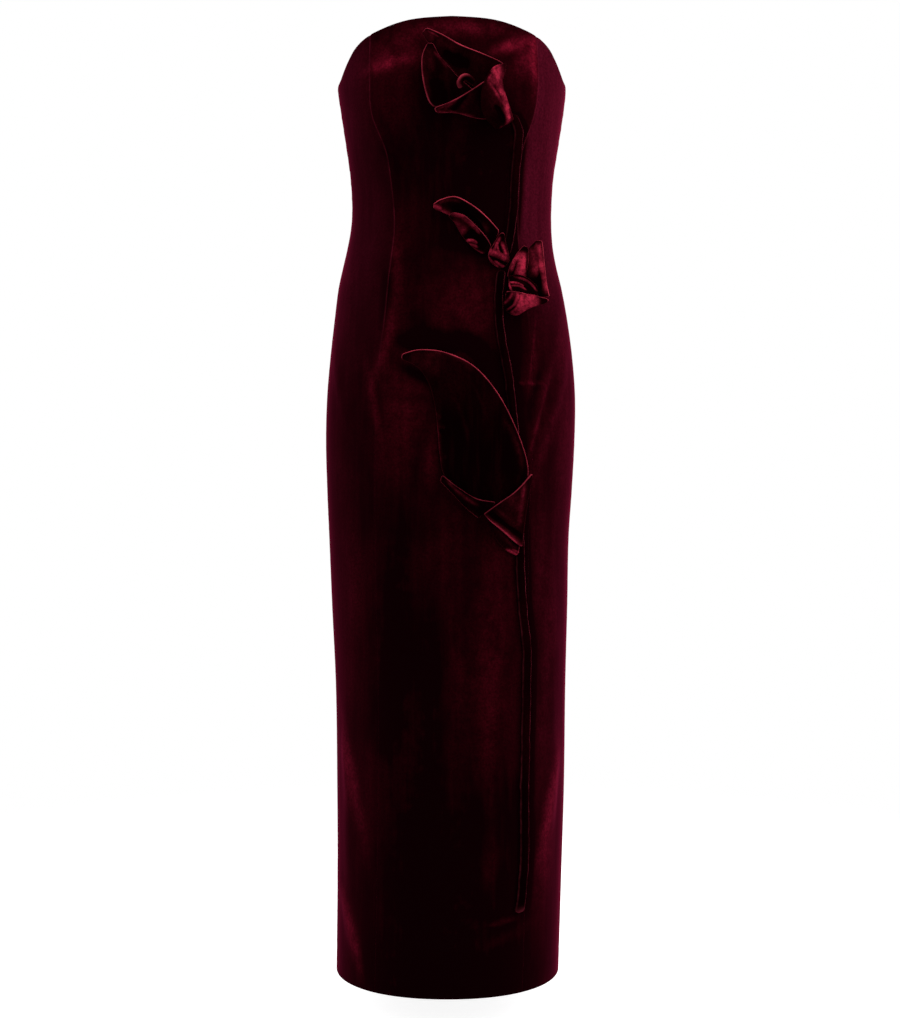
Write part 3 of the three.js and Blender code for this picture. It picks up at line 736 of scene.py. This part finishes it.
for seed, (name, (fromSeam, toSeam, columns, rows)) in enumerate(panelEdges.items()):
    # rim: painted edge highlight at each of the four edges
    values = {"thickness": form["wall"], "columns": columns, "rows": rows, "rimWidth": 1.1,
              "rim": (0.35, 0.35, 0.15, 0.1)}

    def paint(u, v):
        turn, height, _ = panelPlace(fromSeam, toSeam, 1 - u, v)
        return panelPaint(turn, height)

    surface = panelSurface(fromSeam, toSeam, seed)
    piece = shell(name + "_cloth", surface, values, [panelVelvet, backCloth], paint, True)
    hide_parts(name)
    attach(piece, "dress")
print("panels made")

# Petals and leaves
petalColumns = "startAcross startHeight startLift endAcross endHeight endLift belly"
foldColumns = "fromX fromZ toX toZ bend width raise shine"

# Each row crosses the piece. A fold runs from one point to another of the front view, bent by bend
# in the middle; it raises the cloth and adds a painted highlight, which is painted shade where
# negative. Rim: painted highlight of the start, end, first and last edges. Crumple: height of the
# creases and their pitch.
petals = {
    "lily_back_petal": {
        "rows": [[-31, 201, 14, -37, 194, 12, 0], [-13, 192, 14, -26, 176, 7, -1],
                 [10, 178, 13, -6, 154, 2.5, -2], [36, 167, 12, 14, 134, 1.8, -1],
                 [56, 158, 11, 39, 119, 1.8, 0], [65, 152, 8, 54, 110, 1.8, 0]],
        "folds": [[-34, 196, -20, 186, 0, 5, 0.6, 0.05], [-28, 196, -14, 188, 0, 0.8, 0.6, 0.1],
                  [-16, 186, 8, 166, 2, 8, 0.5, 0.03], [18, 166, 60, 150, 0, 5, 0.4, 0.01],
                  [-8, 172, 22, 150, 0, 6, -0.8, -0.05]],
        "rim": (1.0, 0.1, 0.7, 0.0), "cut": (0.062, 0.118, 0.0046),
    },
    "lily_front_petal": {
        "rows": [[-30, 179, 15, -23, 180, 13, 0], [-35, 162, 18, -15, 164, 8, -1],
                 [-35, 141, 21, -2, 148, 5.3, -2], [-32, 120, 24, 12, 133, 4.6, -3],
                 [-27, 102, 25, 27, 120, 4.6, -3], [-21, 94, 25, 38, 112, 4.6, -3]],
        "folds": [[-34, 166, -27, 104, -3, 5, 0.5, 0.02], [-20, 168, -4, 149, 0, 1.6, 0.7, 0.1],
                  [-28, 172, -22, 140, 0, 4, 0.8, 0.02], [-20, 130, -12, 102, 2, 6, -0.8, -0.04]],
        "rim": (0.48, 0.5, 0.6, 0.0), "cut": (0.066, 0.092, 0.0041),
    },
    "lily_lip": {
        "rows": [[-21, 93, 27.5, -18, 87, 25.5, 0], [0, 101, 29, 3, 88.5, 20, 1],
                 [19, 113, 28, 23, 85, 13, 1], [32, 123, 26.4, 38, 84, 8.6, 1],
                 [37, 127, 24.2, 45, 88, 6, 0]],
        "folds": [[-18, 90, 16, 109, -1, 0.9, 0.6, 0.12], [-8, 91, 8, 103, 0, 1.3, 1.0, 0.08],
                  [2, 90, 22, 108, 0, 2.2, -0.9, -0.03], [-2, 90, 30, 86, 0, 1.2, 0.8, 0.12],
                  [14, 92, 30, 112, 2, 3, 0.7, 0.02], [-16, 89, 0, 88, 0, 1.2, 0.5, 0.15]],
        "rim": (0.55, 0.42, 0.5, 0.0), "cut": (0.05, 0.07, 0.0027),
    },
    "lily_neck": {
        "rows": [[52, 148, 18, 64, 155, 12, 0], [43, 140, 30, 62, 144, 13, 1],
                 [34, 122, 33, 58, 130, 14, 3], [31, 103, 30, 61, 112, 13, 4],
                 [36, 85, 19, 67, 97, 10.5, 4], [55, 73, 1.5, 72, 84, 9, 3]],
        "folds": [[66, 156, 48, 145, -1.5, 2.2, 1.6, 0.8], [64, 151, 52, 140, -1, 2.2, 1.0, 0.5],
                  [63, 149, 55, 140, 0, 0.7, -1.4, -0.35], [59, 148, 58, 126, 1.5, 4.2, 1.4, 0.5],
                  [52, 130, 69, 104, 1, 4.4, 1.8, 0.5], [48, 123, 71, 97, -1, 1.3, 1.0, 0.3],
                  [64, 116, 73, 93, 1, 3.2, 1.6, 0.6],
                  [71, 98, 75, 83, 0, 2.2, 1.2, 0.62], [75, 86, 71, 73, -1, 1.4, 1.0, 0.4],
                  [54, 120, 66, 98, 2, 1.0, -1.0, -0.2], [66, 132, 68, 116, 1, 1.0, -0.9, -0.3],
                  [50, 136, 57, 118, 2, 2.0, -1.4, -0.25], [41, 127, 49, 141, 0, 1.0, 0.8, 0.2],
                  [47, 124, 54, 139, 0, 1.0, 0.8, 0.28], [53, 146, 56, 122, 1, 3.6, 0.8, 0.3],
                  [45, 118, 60, 94, 3, 5, 1.0, 0.03],
                  [56, 98, 69, 82, 1, 2.2, -1.2, -0.1], [64, 76, 73, 73, 0, 1.4, 0.8, 0.35]],
        "crumple": (0.4, 13), "rim": (0.0, 0.35, 0.5, 0.05), "cut": (0.061, 0.091, 0.0041),
    },
    "small_leaf_blade": {
        "rows": [[-23, -20, 10, -22, -26, 9, 0], [-13, -14, 12, -11, -30, 7, 0],
                 [5, -11, 14, 6, -38, 3.5, 0], [26, -22, 14, 22, -52, 1.8, 0],
                 [44, -37, 13, 36, -66, 1.8, 0], [61, -55, 12, 48, -77, 3, 0]],
        "folds": [[-22, -22, -11, -26, 0, 2.2, 0.8, 0.3], [-14, -19, 12, -17, 3, 1.6, 0.7, 0.06],
                  [-14, -28, 10, -38, 0, 3.0, 0.6, 0.22], [8, -24, 42, -52, 2, 5, -1.2, -0.1],
                  [20, -28, 48, -54, 2, 3, 0.6, 0.05]],
        "rim": (1.0, 0.2, 0.9, 0.0), "cut": (0.032, 0.096, 0.0026),
    },
    "small_leaf_fold": {
        "rows": [[2, -31, 13, -4, -35, 10, 0], [16, -35, 13, 6, -45, 4, 0],
                 [31, -48, 12, 17, -62, 1.6, 1], [44, -62, 11, 32, -77, 1.6, 1],
                 [52, -74, 9, 43, -84, 2, 1]],
        "folds": [[2, -33, 20, -38, 1, 1.8, 1.6, 0.4], [16, -38, 38, -59, 2, 1.6, 1.4, 0.22],
                  [4, -40, 20, -56, 0, 4.5, 0.6, 0.16], [26, -56, 44, -72, 0, 3.5, -1.8, -0.4],
                  [22, -66, 35, -70, 1.5, 1.2, 1.8, 0.6], [24, -71, 36, -75, 1, 1.0, 0.8, 0.4],
                  [26, -76, 46, -86, 0, 1.6, 1.0, 0.45]],
        "rim": (0.6, 0.1, 0.2, 0.0), "cut": (0.024, 0.068, 0.0014),
    },
    "small_leaf_knot": {
        "rows": [[59, -58, 17, 64, -56, 15, 1], [53, -71, 16, 67, -69, 14, 3],
                 [47, -84, 13, 71, -82, 12, 4], [51, -94, 7, 73, -92, 9, 3],
                 [62, -101, 1.3, 71, -99, 1.3, 1]],
        "folds": [[47, -81, 73, -92, 1, 2.8, 1.8, 0.75], [64, -64, 56, -80, 0, 1.2, 1.2, 0.5],
                  [66, -70, 72, -87, 0, 1.6, 1.2, 0.55], [63, -70, 66, -84, 0, 0.9, -1.2, -0.4],
                  [50, -88, 76, -97, 0.5, 0.9, -1.6, -0.7], [49, -88, 62, -99, -1, 0.8, 0.8, 0.5],
                  [57, -93, 70, -99, -0.5, 0.9, 1.0, 0.7], [58, -72, 53, -84, 0, 1.0, -0.9, -0.3],
                  [60, -74, 62, -84, 0, 0.8, 0.7, 0.4]],
        "crumple": (0.6, 7), "rim": (0.6, 0.8, 0.3, 0.7), "cut": (0.028, 0.052, 0.0011),
    },
    "bud_left_petal": {
        "rows": [[88, -71, 15, 93, -73, 16, 0], [80, -86, 10, 95, -86, 14, 2],
                 [75, -100, 5, 95, -100, 11, 2], [73, -113, 1.4, 94, -117, 7, 1]],
        "folds": [[95, -82, 90, -113, 1, 5, 1.4, 0.95], [86, -90, 80, -110, 1, 1.3, -1.0, -0.2],
                  [90, -82, 78, -104, -2, 2.4, 0.9, 0.6], [91, -94, 86, -112, 0, 0.9, -0.6, -0.12],
                  [98, -84, 99, -112, 0, 2.0, -0.8, -0.5]],
        "crumple": (0.35, 11), "rim": (0.7, 0.4, 0.5, 0.0), "cut": (0.024, 0.048, 0.0009),
    },
    "bud_right_petal": {
        "rows": [[101, -63, 18, 106, -63, 22, 0], [95, -78, 9, 107, -80, 24, 0],
                 [93, -94, 3.5, 108, -96, 25, 0], [93, -110, 1.8, 109, -114, 26, 0],
                 [97, -125, 1.2, 110, -128, 27, 0], [105, -136, 5, 112, -139, 28, 0]],
        "folds": [[115, -74, 119, -104, 0, 3, 1.2, 0.9], [119, -100, 125, -134, 0, 2.4, 1.0, 0.9],
                  [108, -74, 112, -110, 0, 5, 0.8, 0.35], [114, -86, 117, -126, 0, 1.8, -1.4, -0.3],
                  [110, -70, 118, -72, 0, 3, 0.6, 0.5]],
        "crumple": (0.3, 14), "rim": (0.2, 0.8, 0.6, 0.3), "cut": (0.03, 0.08, 0.002),
    },
    "bud_inner": {
        "rows": [[74, -112, 4.4, 72, -129, 10, 0], [84, -110, 10, 78, -136, 16, 1],
                 [94, -115, 15, 88, -139, 20, 1], [103, -126, 20, 100, -140, 23, 0]],
        "folds": [[77, -121, 95, -127, 2, 0.6, 1.6, 1.0], [79, -125.5, 97, -131, 2, 0.6, 1.3, 0.5],
                  [78, -123, 98, -129, 2, 0.8, -1.4, -0.3], [84, -114, 110, -131, 4, 0.7, 1.4, 0.4],
                  [72, -112, 79, -133, 0, 0.8, 1.0, 0.7], [84, -117, 104, -129, 3, 1.4, -1.0, 0.0]],
        "rim": (0.15, 0.1, 0.3, 0.0), "cut": (0.03, 0.042, 0.0011),
    },
    "bud_cup": {
        "rows": [[66, -134, 17, 67, -150, 4, 2], [72, -134, 22, 72, -158, 2, 6],
                 [82, -136, 25, 83, -162, 2, 8], [95, -139, 28, 96, -153, 9, 5],
                 [109, -142, 30, 110, -146, 26, 1]],
        "folds": [[84, -150, 112, -142, -1, 10, 1.4, 1.2], [84, -135, 71, -154, 4, 0.6, -1.3, -0.45],
                  [88, -138, 76, -157, 4.5, 0.6, -1.2, -0.45], [80, -136, 69, -148, 2, 1.2, 0.8, 0.4],
                  [86, -137, 74, -155, 4, 0.9, 0.8, 0.45], [90, -139, 79, -158, 4, 1.2, 0.5, 0.4],
                  [86, -138.5, 112, -139, 1, 0.7, -1.2, -0.5],
                  [78, -160, 92, -163, 0, 3, 0.6, 0.4]],
        "crumple": (0.25, 12), "rim": (0.9, 0.1, 0.4, 0.5), "cut": (0.042, 0.056, 0.0018),
    },
    "large_leaf_blade": {
        "rows": [[-60, -214, 13, -61, -221, 12, 0], [-38, -209, 15, -42, -231, 8, 0],
                 [-7, -213, 16, -28, -252, 3.5, 0], [27, -230, 16, -20, -282, 1.8, 0],
                 [54, -261, 16, -16, -313, 1.8, 1], [74, -298, 16, -13, -343, 1.8, 2],
                 [89, -339, 17, -7, -369, 1.8, 3], [94, -368, 15, 12, -393, 1.8, 3],
                 [88, -396, 10, 34, -414, 1.8, 2]],
        "folds": [[-50, -218, -14, -238, 4, 11, 0.5, 0.025], [-30, -216, 30, -236, 10, 3, 0.6, 0.04],
                  [26, -250, 48, -300, 2, 1.8, 0.4, 0.008], [4, -268, 24, -330, 3, 2.4, 0.4, 0.008],
                  [-16, -312, 2, -318, 1, 1.6, -0.8, -0.02], [-16, -307, -6, -309, 1, 1.4, 0.6, 0.015],
                  [-19, -290, -12, -296, 0, 1.6, 0.6, 0.04], [70, -300, 92, -360, 4, 3, 0.5, 0.03],
                  [-14, -340, -4, -347, 0, 1.4, 0.5, 0.012], [-18, -300, -13, -355, 0, 2.4, 0.6, 0.08]],
        "rim": (1.0, 0.07, 0.9, 0.0), "grid": (64, 90), "cut": (0.104, 0.236, 0.0172),
    },
    "large_leaf_cuff": {
        "rows": [[-9, -368, 13, -12, -376, 9, 0], [10, -384, 15, 3, -391, 4, 1],
                 [32, -398, 17, 20, -409, 1.5, 2], [56, -403, 19, 38, -424, 1.5, 3]],
        "folds": [[-4, -375, 34, -406, -2, 1.3, 0.9, 0.1], [6, -382, 34, -400, -2, 3.5, 0.6, 0.03],
                  [-2, -372, 30, -397, -2, 0.9, -0.9, -0.25]],
        "rim": (0.3, 0.6, 0.4, 0.0), "cut": (0.033, 0.078, 0.0018),
    },
    "large_leaf_wrap": {
        "rows": [[97, -366, 19, 102, -371, 9, 0], [78, -388, 21, 98, -393, 8, 2],
                 [59, -403, 22, 94, -424, 8, 3], [40, -419, 15, 90, -463, 8, 3]],
        "folds": [[40, -420, 70, -444, 0, 2.6, 1.2, 0.3], [56, -433, 96, -466, 0, 2.8, 1.4, 0.6],
                  [52, -418, 92, -448, 0, 1.6, -1.2, -0.2],
                  [72, -392, 92, -412, 0, 8, 0.5, 0.04], [56, -410, 84, -432, 0, 2, 0.7, 0.03],
                  [94, -378, 88, -430, 0, 2.4, 0.6, 0.12]],
        "crumple": (0.2, 17), "rim": (0.45, 0.35, 0.4, 0.5), "cut": (0.066, 0.088, 0.0036),
    },
    "large_leaf_tail": {
        "rows": [[50, -427, 3, 54, -437, 1.5, 0], [64, -436, 5, 62, -453, 1.5, 1],
                 [77, -446, 6, 73, -465, 1.5, 1], [88, -455, 7, 86, -472, 4, 1]],
        "folds": [[60, -438, 86, -464, 0, 2.4, 0.7, 0.04], [66, -434, 88, -458, 0, 2, -0.6, -0.1],
                  [72, -463, 90, -472, 0, 1.6, 0.5, 0.45], [80, -463, 90, -468, 0, 0.9, 0.5, 0.3]],
        "crumple": (0.2, 9), "rim": (0.0, 0.1, 0.0, 0.5), "cut": (0.022, 0.048, 0.0009),
    },
}
petalCommon = {
    "thickness": 2.0, "bead": 0.2, "rimWidth": 0.85, "tipRound": 3.0, "tipShare": 0.25, "leastLift": 1.1,
    "grid": (52, 72), "crumpleLight": (0.92, 0.45),
}
crumpleWaves = {
    "count": 5, "angle": 0.5, "turn": 1.27, "pitch": 0.8, "growth": 0.21, "shift": 1.9, "level": 0.35,
}
foldShape = {"fadeIn": (-0.12, 0.2), "fadeOut": (1.12, 0.8), "raise": 2, "shine": 1.5}


# Crumple: ridges where several tilted waves come close to zero, so the creases meet at angles
def crumple(across, height, size, pitch):
    total = 0
    for i in range(crumpleWaves["count"]):
        angle = crumpleWaves["angle"] + crumpleWaves["turn"] * i
        wave = across * math.cos(angle) + height * math.sin(angle)
        wave = wave / (pitch * (crumpleWaves["pitch"] + crumpleWaves["growth"] * i))
        ridge = (1 - np.abs(np.sin(np.pi * wave + crumpleWaves["shift"] * i))) ** 2
        total = total + ridge / crumpleWaves["count"]
    return size * (total - crumpleWaves["level"]) * 2


# Folds: bells across shallow arcs from point to point, fading out at their ends; heights are soft,
# the painted light has a narrower peak
def foldSum(values, points, column):
    x, z = points[..., 0], points[..., 2]
    total = 0 * x
    for fold in each(table(foldColumns, values["folds"])):
        along, away = lineShare(x, z, (fold["fromX"], fold["fromZ"]), (fold["toX"], fold["toZ"]))
        within = np.clip(along, 0, 1)
        away = (away + 4 * fold["bend"] * within * (1 - within)) / fold["width"]
        fade = smooth(*foldShape["fadeIn"], along) * smooth(*foldShape["fadeOut"], along)
        total = total + fold[column] * fade * np.exp(-np.abs(away) ** foldShape[column])
    return total


# Petal: straight rows from the start edge to the end edge, their ends joined by smooth curves,
# the middle raised by the belly, the first and last edges rounded, with folds and crumples on top
def petalSurface(values):
    rows = table(petalColumns, values["rows"])
    place = np.arange(len(values["rows"]), dtype=float)
    length = values["cut"][1] / metre

    def middle(u, v):
        end = np.clip(np.minimum(v, 1 - v) * length / petalCommon["tipRound"], 0, 1)
        u = 0.5 + (u - 0.5) * mix(petalCommon["tipShare"], 1, np.sqrt(1 - (1 - end) ** 2))
        read = {name: curve(v * place[-1], place, column) for name, column in rows.items()}
        across = mix(read["startAcross"], read["endAcross"], u)
        height = mix(read["startHeight"], read["endHeight"], u)
        lift = mix(read["startLift"], read["endLift"], u) + read["belly"] * 4 * u * (1 - u)
        lift = lift + foldSum(values, frontPoint(across, height, lift), "raise")
        if "crumple" in values:
            lift = lift + crumple(across, height, *values["crumple"])
        return frontPoint(across, height, np.maximum(lift, petalCommon["leastLift"]))
    return middle


# Painted highlights along the folds, painted shade where their values are negative, varied by the crumple
def petalPaint(values):
    surface = petalSurface(values)

    def paint(u, v):
        points = surface(u, v)
        total = foldSum(values, points, "shine")
        if "crumple" in values:
            level, gain = petalCommon["crumpleLight"]
            uneven = crumple(points[..., 0], points[..., 2], 1.0, values["crumple"][1])
            total = total * (level + gain * uneven)
        return {"napAndLight": total}
    return paint


for name, values in petals.items():
    columns, rows = values.get("grid", petalCommon["grid"])
    look = {**petalCommon, "rim": values["rim"], "columns": columns, "rows": rows}
    piece = shell(name + "_cloth", petalSurface(values), look, [petalVelvet], petalPaint(values))
    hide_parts(name)
    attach(piece, "dress")
print("petals made")


# Filled tubes
# Closed tube from rings of points, its two ends closed by quads that fold onto the ring's middle
def tube(name, rings, edge, material):
    steps, ring = rings.shape[:2]
    centres = rings[[0, -1]].mean(axis=1)
    vertices = np.concatenate([rings.reshape(-1, 3), centres])
    index = np.arange(steps * ring).reshape(steps, ring)
    turned = np.roll(index, -1, axis=1)
    sides = np.stack([index[:-1], turned[:-1], turned[1:], index[1:]], axis=-1).reshape(-1, 4)
    pairs = np.arange(0, ring, 2)
    first = np.stack([0 * pairs + steps * ring, index[0][(pairs + 2) % ring], index[0][(pairs + 1) % ring],
                      index[0][pairs]], axis=-1)
    final = np.stack([0 * pairs + steps * ring + 1, index[-1][pairs], index[-1][(pairs + 1) % ring],
                      index[-1][(pairs + 2) % ring]], axis=-1)
    quads = np.concatenate([sides, first, final])
    uv = np.zeros((len(vertices), 2))
    uv[:steps * ring, 0] = np.tile(np.arange(ring), steps)
    uv[:steps * ring, 1] = np.repeat(np.arange(steps), ring)
    edges = np.concatenate([edge.ravel(), [0, 0]])
    return newObject(name, vertices, quads, {"paintedEdgeLight": edges, "napAndLight": 0 * edges}, uv, [material])


stem = {
    "width": 11.2, "dome": 5.0, "baseLift": 0.6, "sag": 0.12, "ring": 40, "squareness": 0.8, "endRound": 5,
    "endLeast": 0.985, "waver": 0.5, "waverPitch": 41, "widthWaver": 0.06, "widthPitch": 23,
    "lineTurn": 0.42, "rightLine": (0.26, 1.0), "leftLine": (0.2, 0.16), "lineLevel": 0.75,
    "lineWaves": ((0.45, 37, 0), (0.3, 7, 5)), "lineGrowth": (0.8, 1.25), "growthHeight": (-380, -560),
    "footLine": 0.35, "footReach": 5,
}
stemLengths = {  # top, bottom and steps
    "stem_upper": (94, -84, 120), "stem_middle": (-104, -330, 150), "stem_lower": (-400, -926, 320),
}


# Rouleau: a low dome whose base follows the cloth and its creases, its width wavering, its ends
# rounded as half an oval. A painted highlight runs along both of its edges, brighter on the right, and round
# its foot
def stemRings(top, bottom, steps, seed):
    t = np.linspace(0, 1, steps)
    end = np.minimum(t, 1 - t) * (top - bottom)
    size = np.sqrt(1 - np.clip(1 - end / stem["endRound"], 0, stem["endLeast"]) ** 2)
    height = mix(top, bottom, t)
    turn = np.linspace(0, 2 * np.pi, stem["ring"], endpoint=False)
    waver = 1 + stem["widthWaver"] * wobble(height, stem["widthPitch"], seed)
    aside = np.outer(waver * size, signedPower(np.cos(turn), stem["squareness"])) * stem["width"] / 2
    dome = np.where(np.sin(turn) > 0, np.abs(np.sin(turn)) ** stem["squareness"], stem["sag"] * np.sin(turn))
    across = stemAcross(height) + stem["waver"] * wobble(height, stem["waverPitch"], seed + 2)
    under = creaseRelief(frontTurn(across, height), height)
    lift = under[:, None] + stem["baseLift"] + np.outer(size, dome) * stem["dome"]
    # painted highlight lines along both edges, the right one brighter
    line = 0 * turn
    for place, (width, gain) in ((stem["lineTurn"], stem["rightLine"]),
                                 (np.pi - stem["lineTurn"], stem["leftLine"])):
        line = line + gain * bell(turn - place, width)
    uneven = stem["lineLevel"]
    for gain, pitch, shift in stem["lineWaves"]:
        uneven = uneven + gain * wobble(height, pitch, seed + shift)
    growth = mix(*stem["lineGrowth"], smooth(*stem["growthHeight"], height))
    ridge = np.outer(uneven * growth, line)
    # painted highlight round the foot
    if bottom == stemLine["height"].min():
        foot = bell(height - bottom, stem["footReach"])
        ridge = ridge + stem["footLine"] * np.outer(foot, np.sin(turn) > 0)
    return frontPoint(across[:, None] + aside, height[:, None] + 0 * aside, lift), np.clip(ridge, 0, 1)


for seed, (name, (top, bottom, steps)) in enumerate(stemLengths.items()):
    rings, edge = stemRings(top, bottom, steps, seed)
    piece = tube(name + "_cloth", rings, edge, stemVelvet)
    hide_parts(name)
    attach(piece, "dress")

spadix = {
    "radius": 3.7, "ring": 32, "steps": 60, "length": 45, "endRound": 2.0, "endLeast": 0.97,
    "groove": 0.35 / 3, "grooveStart": 2.2, "grooveTurn": 2.0, "grooveWidth": 0.25,
    "upperWay": (-0.4, -0.5, 0.75), "upperHighlight": (1.5, 0.4), "tipWay": (-0.6, -0.8, 0.1), "tipHighlight": 1.3,
    "tipReach": 9,
}
spadixLine = table("across height lift", [
    [10, 121, 15], [8.5, 126, 19], [12, 131.5, 21], [18, 132.5, 20], [25, 127, 15]])


# Rolled tube: circles round a smooth line, with a groove that winds along it where the cloth ends.
# Its upper side and its free tip get a painted highlight
def spadixRings():
    t = np.linspace(0, 1, spadix["steps"])
    key = np.arange(len(spadixLine["lift"]), dtype=float)
    line = frontPoint(*(curve(t * key[-1], key, spadixLine[name]) for name in ("across", "height", "lift")))
    way = np.gradient(line, axis=0)
    way /= np.linalg.norm(way, axis=1, keepdims=True)
    side = np.cross(way, [0, -1, 0])
    side /= np.linalg.norm(side, axis=1, keepdims=True)
    out = np.cross(side, way)
    turn = np.linspace(0, 2 * np.pi, spadix["ring"], endpoint=False)
    end = np.minimum(t, 1 - t) * spadix["length"]
    size = np.sqrt(1 - np.clip(1 - end / spadix["endRound"], 0, spadix["endLeast"]) ** 2)
    winding = turn[None, :] - spadix["grooveStart"] - spadix["grooveTurn"] * t[:, None]
    groove = 1 - spadix["groove"] * bell(winding, spadix["grooveWidth"])
    radius = (spadix["radius"] * size[:, None] * groove)[..., None]
    spokes = side[:, None] * np.cos(turn)[:, None] + out[:, None] * np.sin(turn)[:, None]
    # painted highlight on the side facing upperWay and on the free tip facing tipWay
    shine = np.clip(spokes @ np.array(spadix["upperWay"]), 0, 1) ** 2 * mix(*spadix["upperHighlight"], t[:, None])
    tip = (bell(end, spadix["tipReach"]) * (t < 0.5))[:, None]
    shine = shine + spadix["tipHighlight"] * tip * np.clip(spokes @ np.array(spadix["tipWay"]), 0, 1)
    return line[:, None] + radius * spokes, np.clip(shine, 0, 1)


rings, edge = spadixRings()
piece = tube("lily_spadix_cloth", rings, edge, petalVelvet)
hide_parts("lily_spadix")
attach(piece, "dress")
print("stem and spadix made")


# Zip
zipLook = {
    "metallic": 0.75, "specular": 0.5, "wear": (900, 3), "wearRange": (0.45, 0.7, 0, 1),
    "colours": ((0.045, 0.006, 0.014, 1), (0.09, 0.02, 0.03, 1)), "roughness": (0.28, 0.42),
}


# Dark enamel, paler and rougher where it is worn
def zipMetal():
    material, tree, shader = newMaterial(
        "zipMetal", Metallic=zipLook["metallic"], Specular_IOR_Level=zipLook["specular"])
    place = newNode(tree, "TexCoord").outputs["Object"]
    worn = rangeNode(noiseNode(place, *zipLook["wear"]), *zipLook["wearRange"])
    feedAll(shader, Base_Color=mixColour(worn, *zipLook["colours"]),
            Roughness=rangeNode(worn, 0, 1, *zipLook["roughness"]))
    return material


metal = zipMetal()
for name in ("zip_slider", "zip_pull"):
    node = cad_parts[name]
    node.data.materials.clear()
    node.data.materials.append(metal)
print("zip finished")

# Floor, light and camera
studio = {
    "floorHeight": -1.075, "floorSize": 6, "floorFade": (0.5, 1.6), "floorGlow": 0.86, "floorNoise": (3, 3),
    "floorColours": ((0.55, 0.55, 0.555, 1), (0.6, 0.6, 0.6, 1)), "floorRoughness": 0.7, "floorSpecular": 0.2,
    "skyLight": 0.55, "skyColour": (1, 0.985, 0.98),
    "lens": 52.23, "sensor": 36, "cameraPlace": (0, -2.0, -0.4116),
}


# Pale floor that fades into the white round it; it looks evenly lit, with a faint shadow at the hem
def makeFloor():
    grid = np.linspace(-0.5, 0.5, 3) * studio["floorSize"] / metre
    x, y = np.meshgrid(grid, grid)
    points = np.stack([x, y, 0 * x + studio["floorHeight"] / metre], axis=-1).reshape(-1, 3)
    index = np.arange(9).reshape(3, 3)
    quads = np.stack([index[:-1, :-1], index[:-1, 1:], index[1:, 1:], index[1:, :-1]], axis=-1).reshape(-1, 4)
    material, tree, shader = newMaterial(
        "floorPaint", Specular_IOR_Level=studio["floorSpecular"], Roughness=studio["floorRoughness"],
        Emission_Strength=1.0)
    place = newNode(tree, "TexCoord").outputs["Object"]
    flat, away = newNode(tree, "VectorMath"), newNode(tree, "VectorMath")
    flat.operation, away.operation = "MULTIPLY", "LENGTH"
    for socket, value in zip(flat.inputs, (place, (1, 1, 0))):
        feed(socket, value)
    feed(away.inputs[0], flat.outputs[0])
    path = newNode(tree, "LightPath").outputs["Is Camera Ray"]
    feedAll(shader, Base_Color=mixColour(noiseNode(place, *studio["floorNoise"]), *studio["floorColours"]),
            Emission_Color=mixColour(path, (0, 0, 0, 1), (studio["floorGlow"],) * 3 + (1,)),
            Alpha=rangeNode(away.outputs["Value"], *studio["floorFade"], 1, 0))
    floor = newObject("floor", points, quads, {}, points[:, :2], [material])


def areaLight(name, place, aim, size, power, colour):
    light = bpy.data.lights.new(name, "AREA")
    light.shape, light.size, light.size_y = "RECTANGLE", *size
    light.energy, light.color = power, colour
    obj = bpy.data.objects.new(name, light)
    obj.location = place
    way = np.array(aim) - np.array(place)
    down, turned = math.acos(-way[2] / np.linalg.norm(way)), math.atan2(way[1], way[0]) - math.pi / 2
    obj.rotation_euler = (down, 0, turned)
    bpy.context.collection.objects.link(obj)


lights = {  # place, what it points at, size, power, colour
    "keyAbove": ((0.9, -1.6, 1.9), (0, 0, 0.1), (1.4, 1.4), 42, (1, 0.95, 0.92)),
    "sideRight": ((2.2, -0.5, 0.1), (0, 0, -0.4), (0.9, 2.4), 34, (1, 0.96, 0.98)),
    "sideLeft": ((-2.2, -0.5, 0.0), (0, 0, -0.4), (0.9, 2.4), 24, (1, 0.96, 0.98)),
    "behind": ((0, 2.4, 1.2), (0, 0, -0.3), (2.0, 1.2), 30, (1, 1, 1)),
}


def makeWorld():
    world = bpy.data.worlds.new("studio")
    bpy.context.scene.world = world
    world.use_nodes = True
    tree = world.node_tree
    tree.nodes.clear()
    seen = newNode(tree, "Background", Color=(1, 1, 1, 1))
    light = newNode(tree, "Background", Color=(*studio["skyColour"], 1), Strength=studio["skyLight"])
    path, either = newNode(tree, "LightPath"), newNode(tree, "MixShader")
    sources = (path.outputs["Is Camera Ray"], light.outputs[0], seen.outputs[0])
    for socket, source in zip(either.inputs, sources):
        feed(socket, source)
    feed(newNode(tree, "OutputWorld").inputs[0], either.outputs[0])


makeFloor()
makeWorld()
for name, values in lights.items():
    areaLight(name, *values)
cameraData = bpy.data.cameras.new("camera")
cameraData.lens, cameraData.sensor_width = studio["lens"], studio["sensor"]
camera = bpy.data.objects.new("camera", cameraData)
camera.location, camera.rotation_euler = studio["cameraPlace"], (math.pi / 2, 0, 0)
bpy.context.collection.objects.link(camera)
bpy.context.scene.camera = camera
bpy.context.scene.view_settings.view_transform = "Standard"
print("studio made")
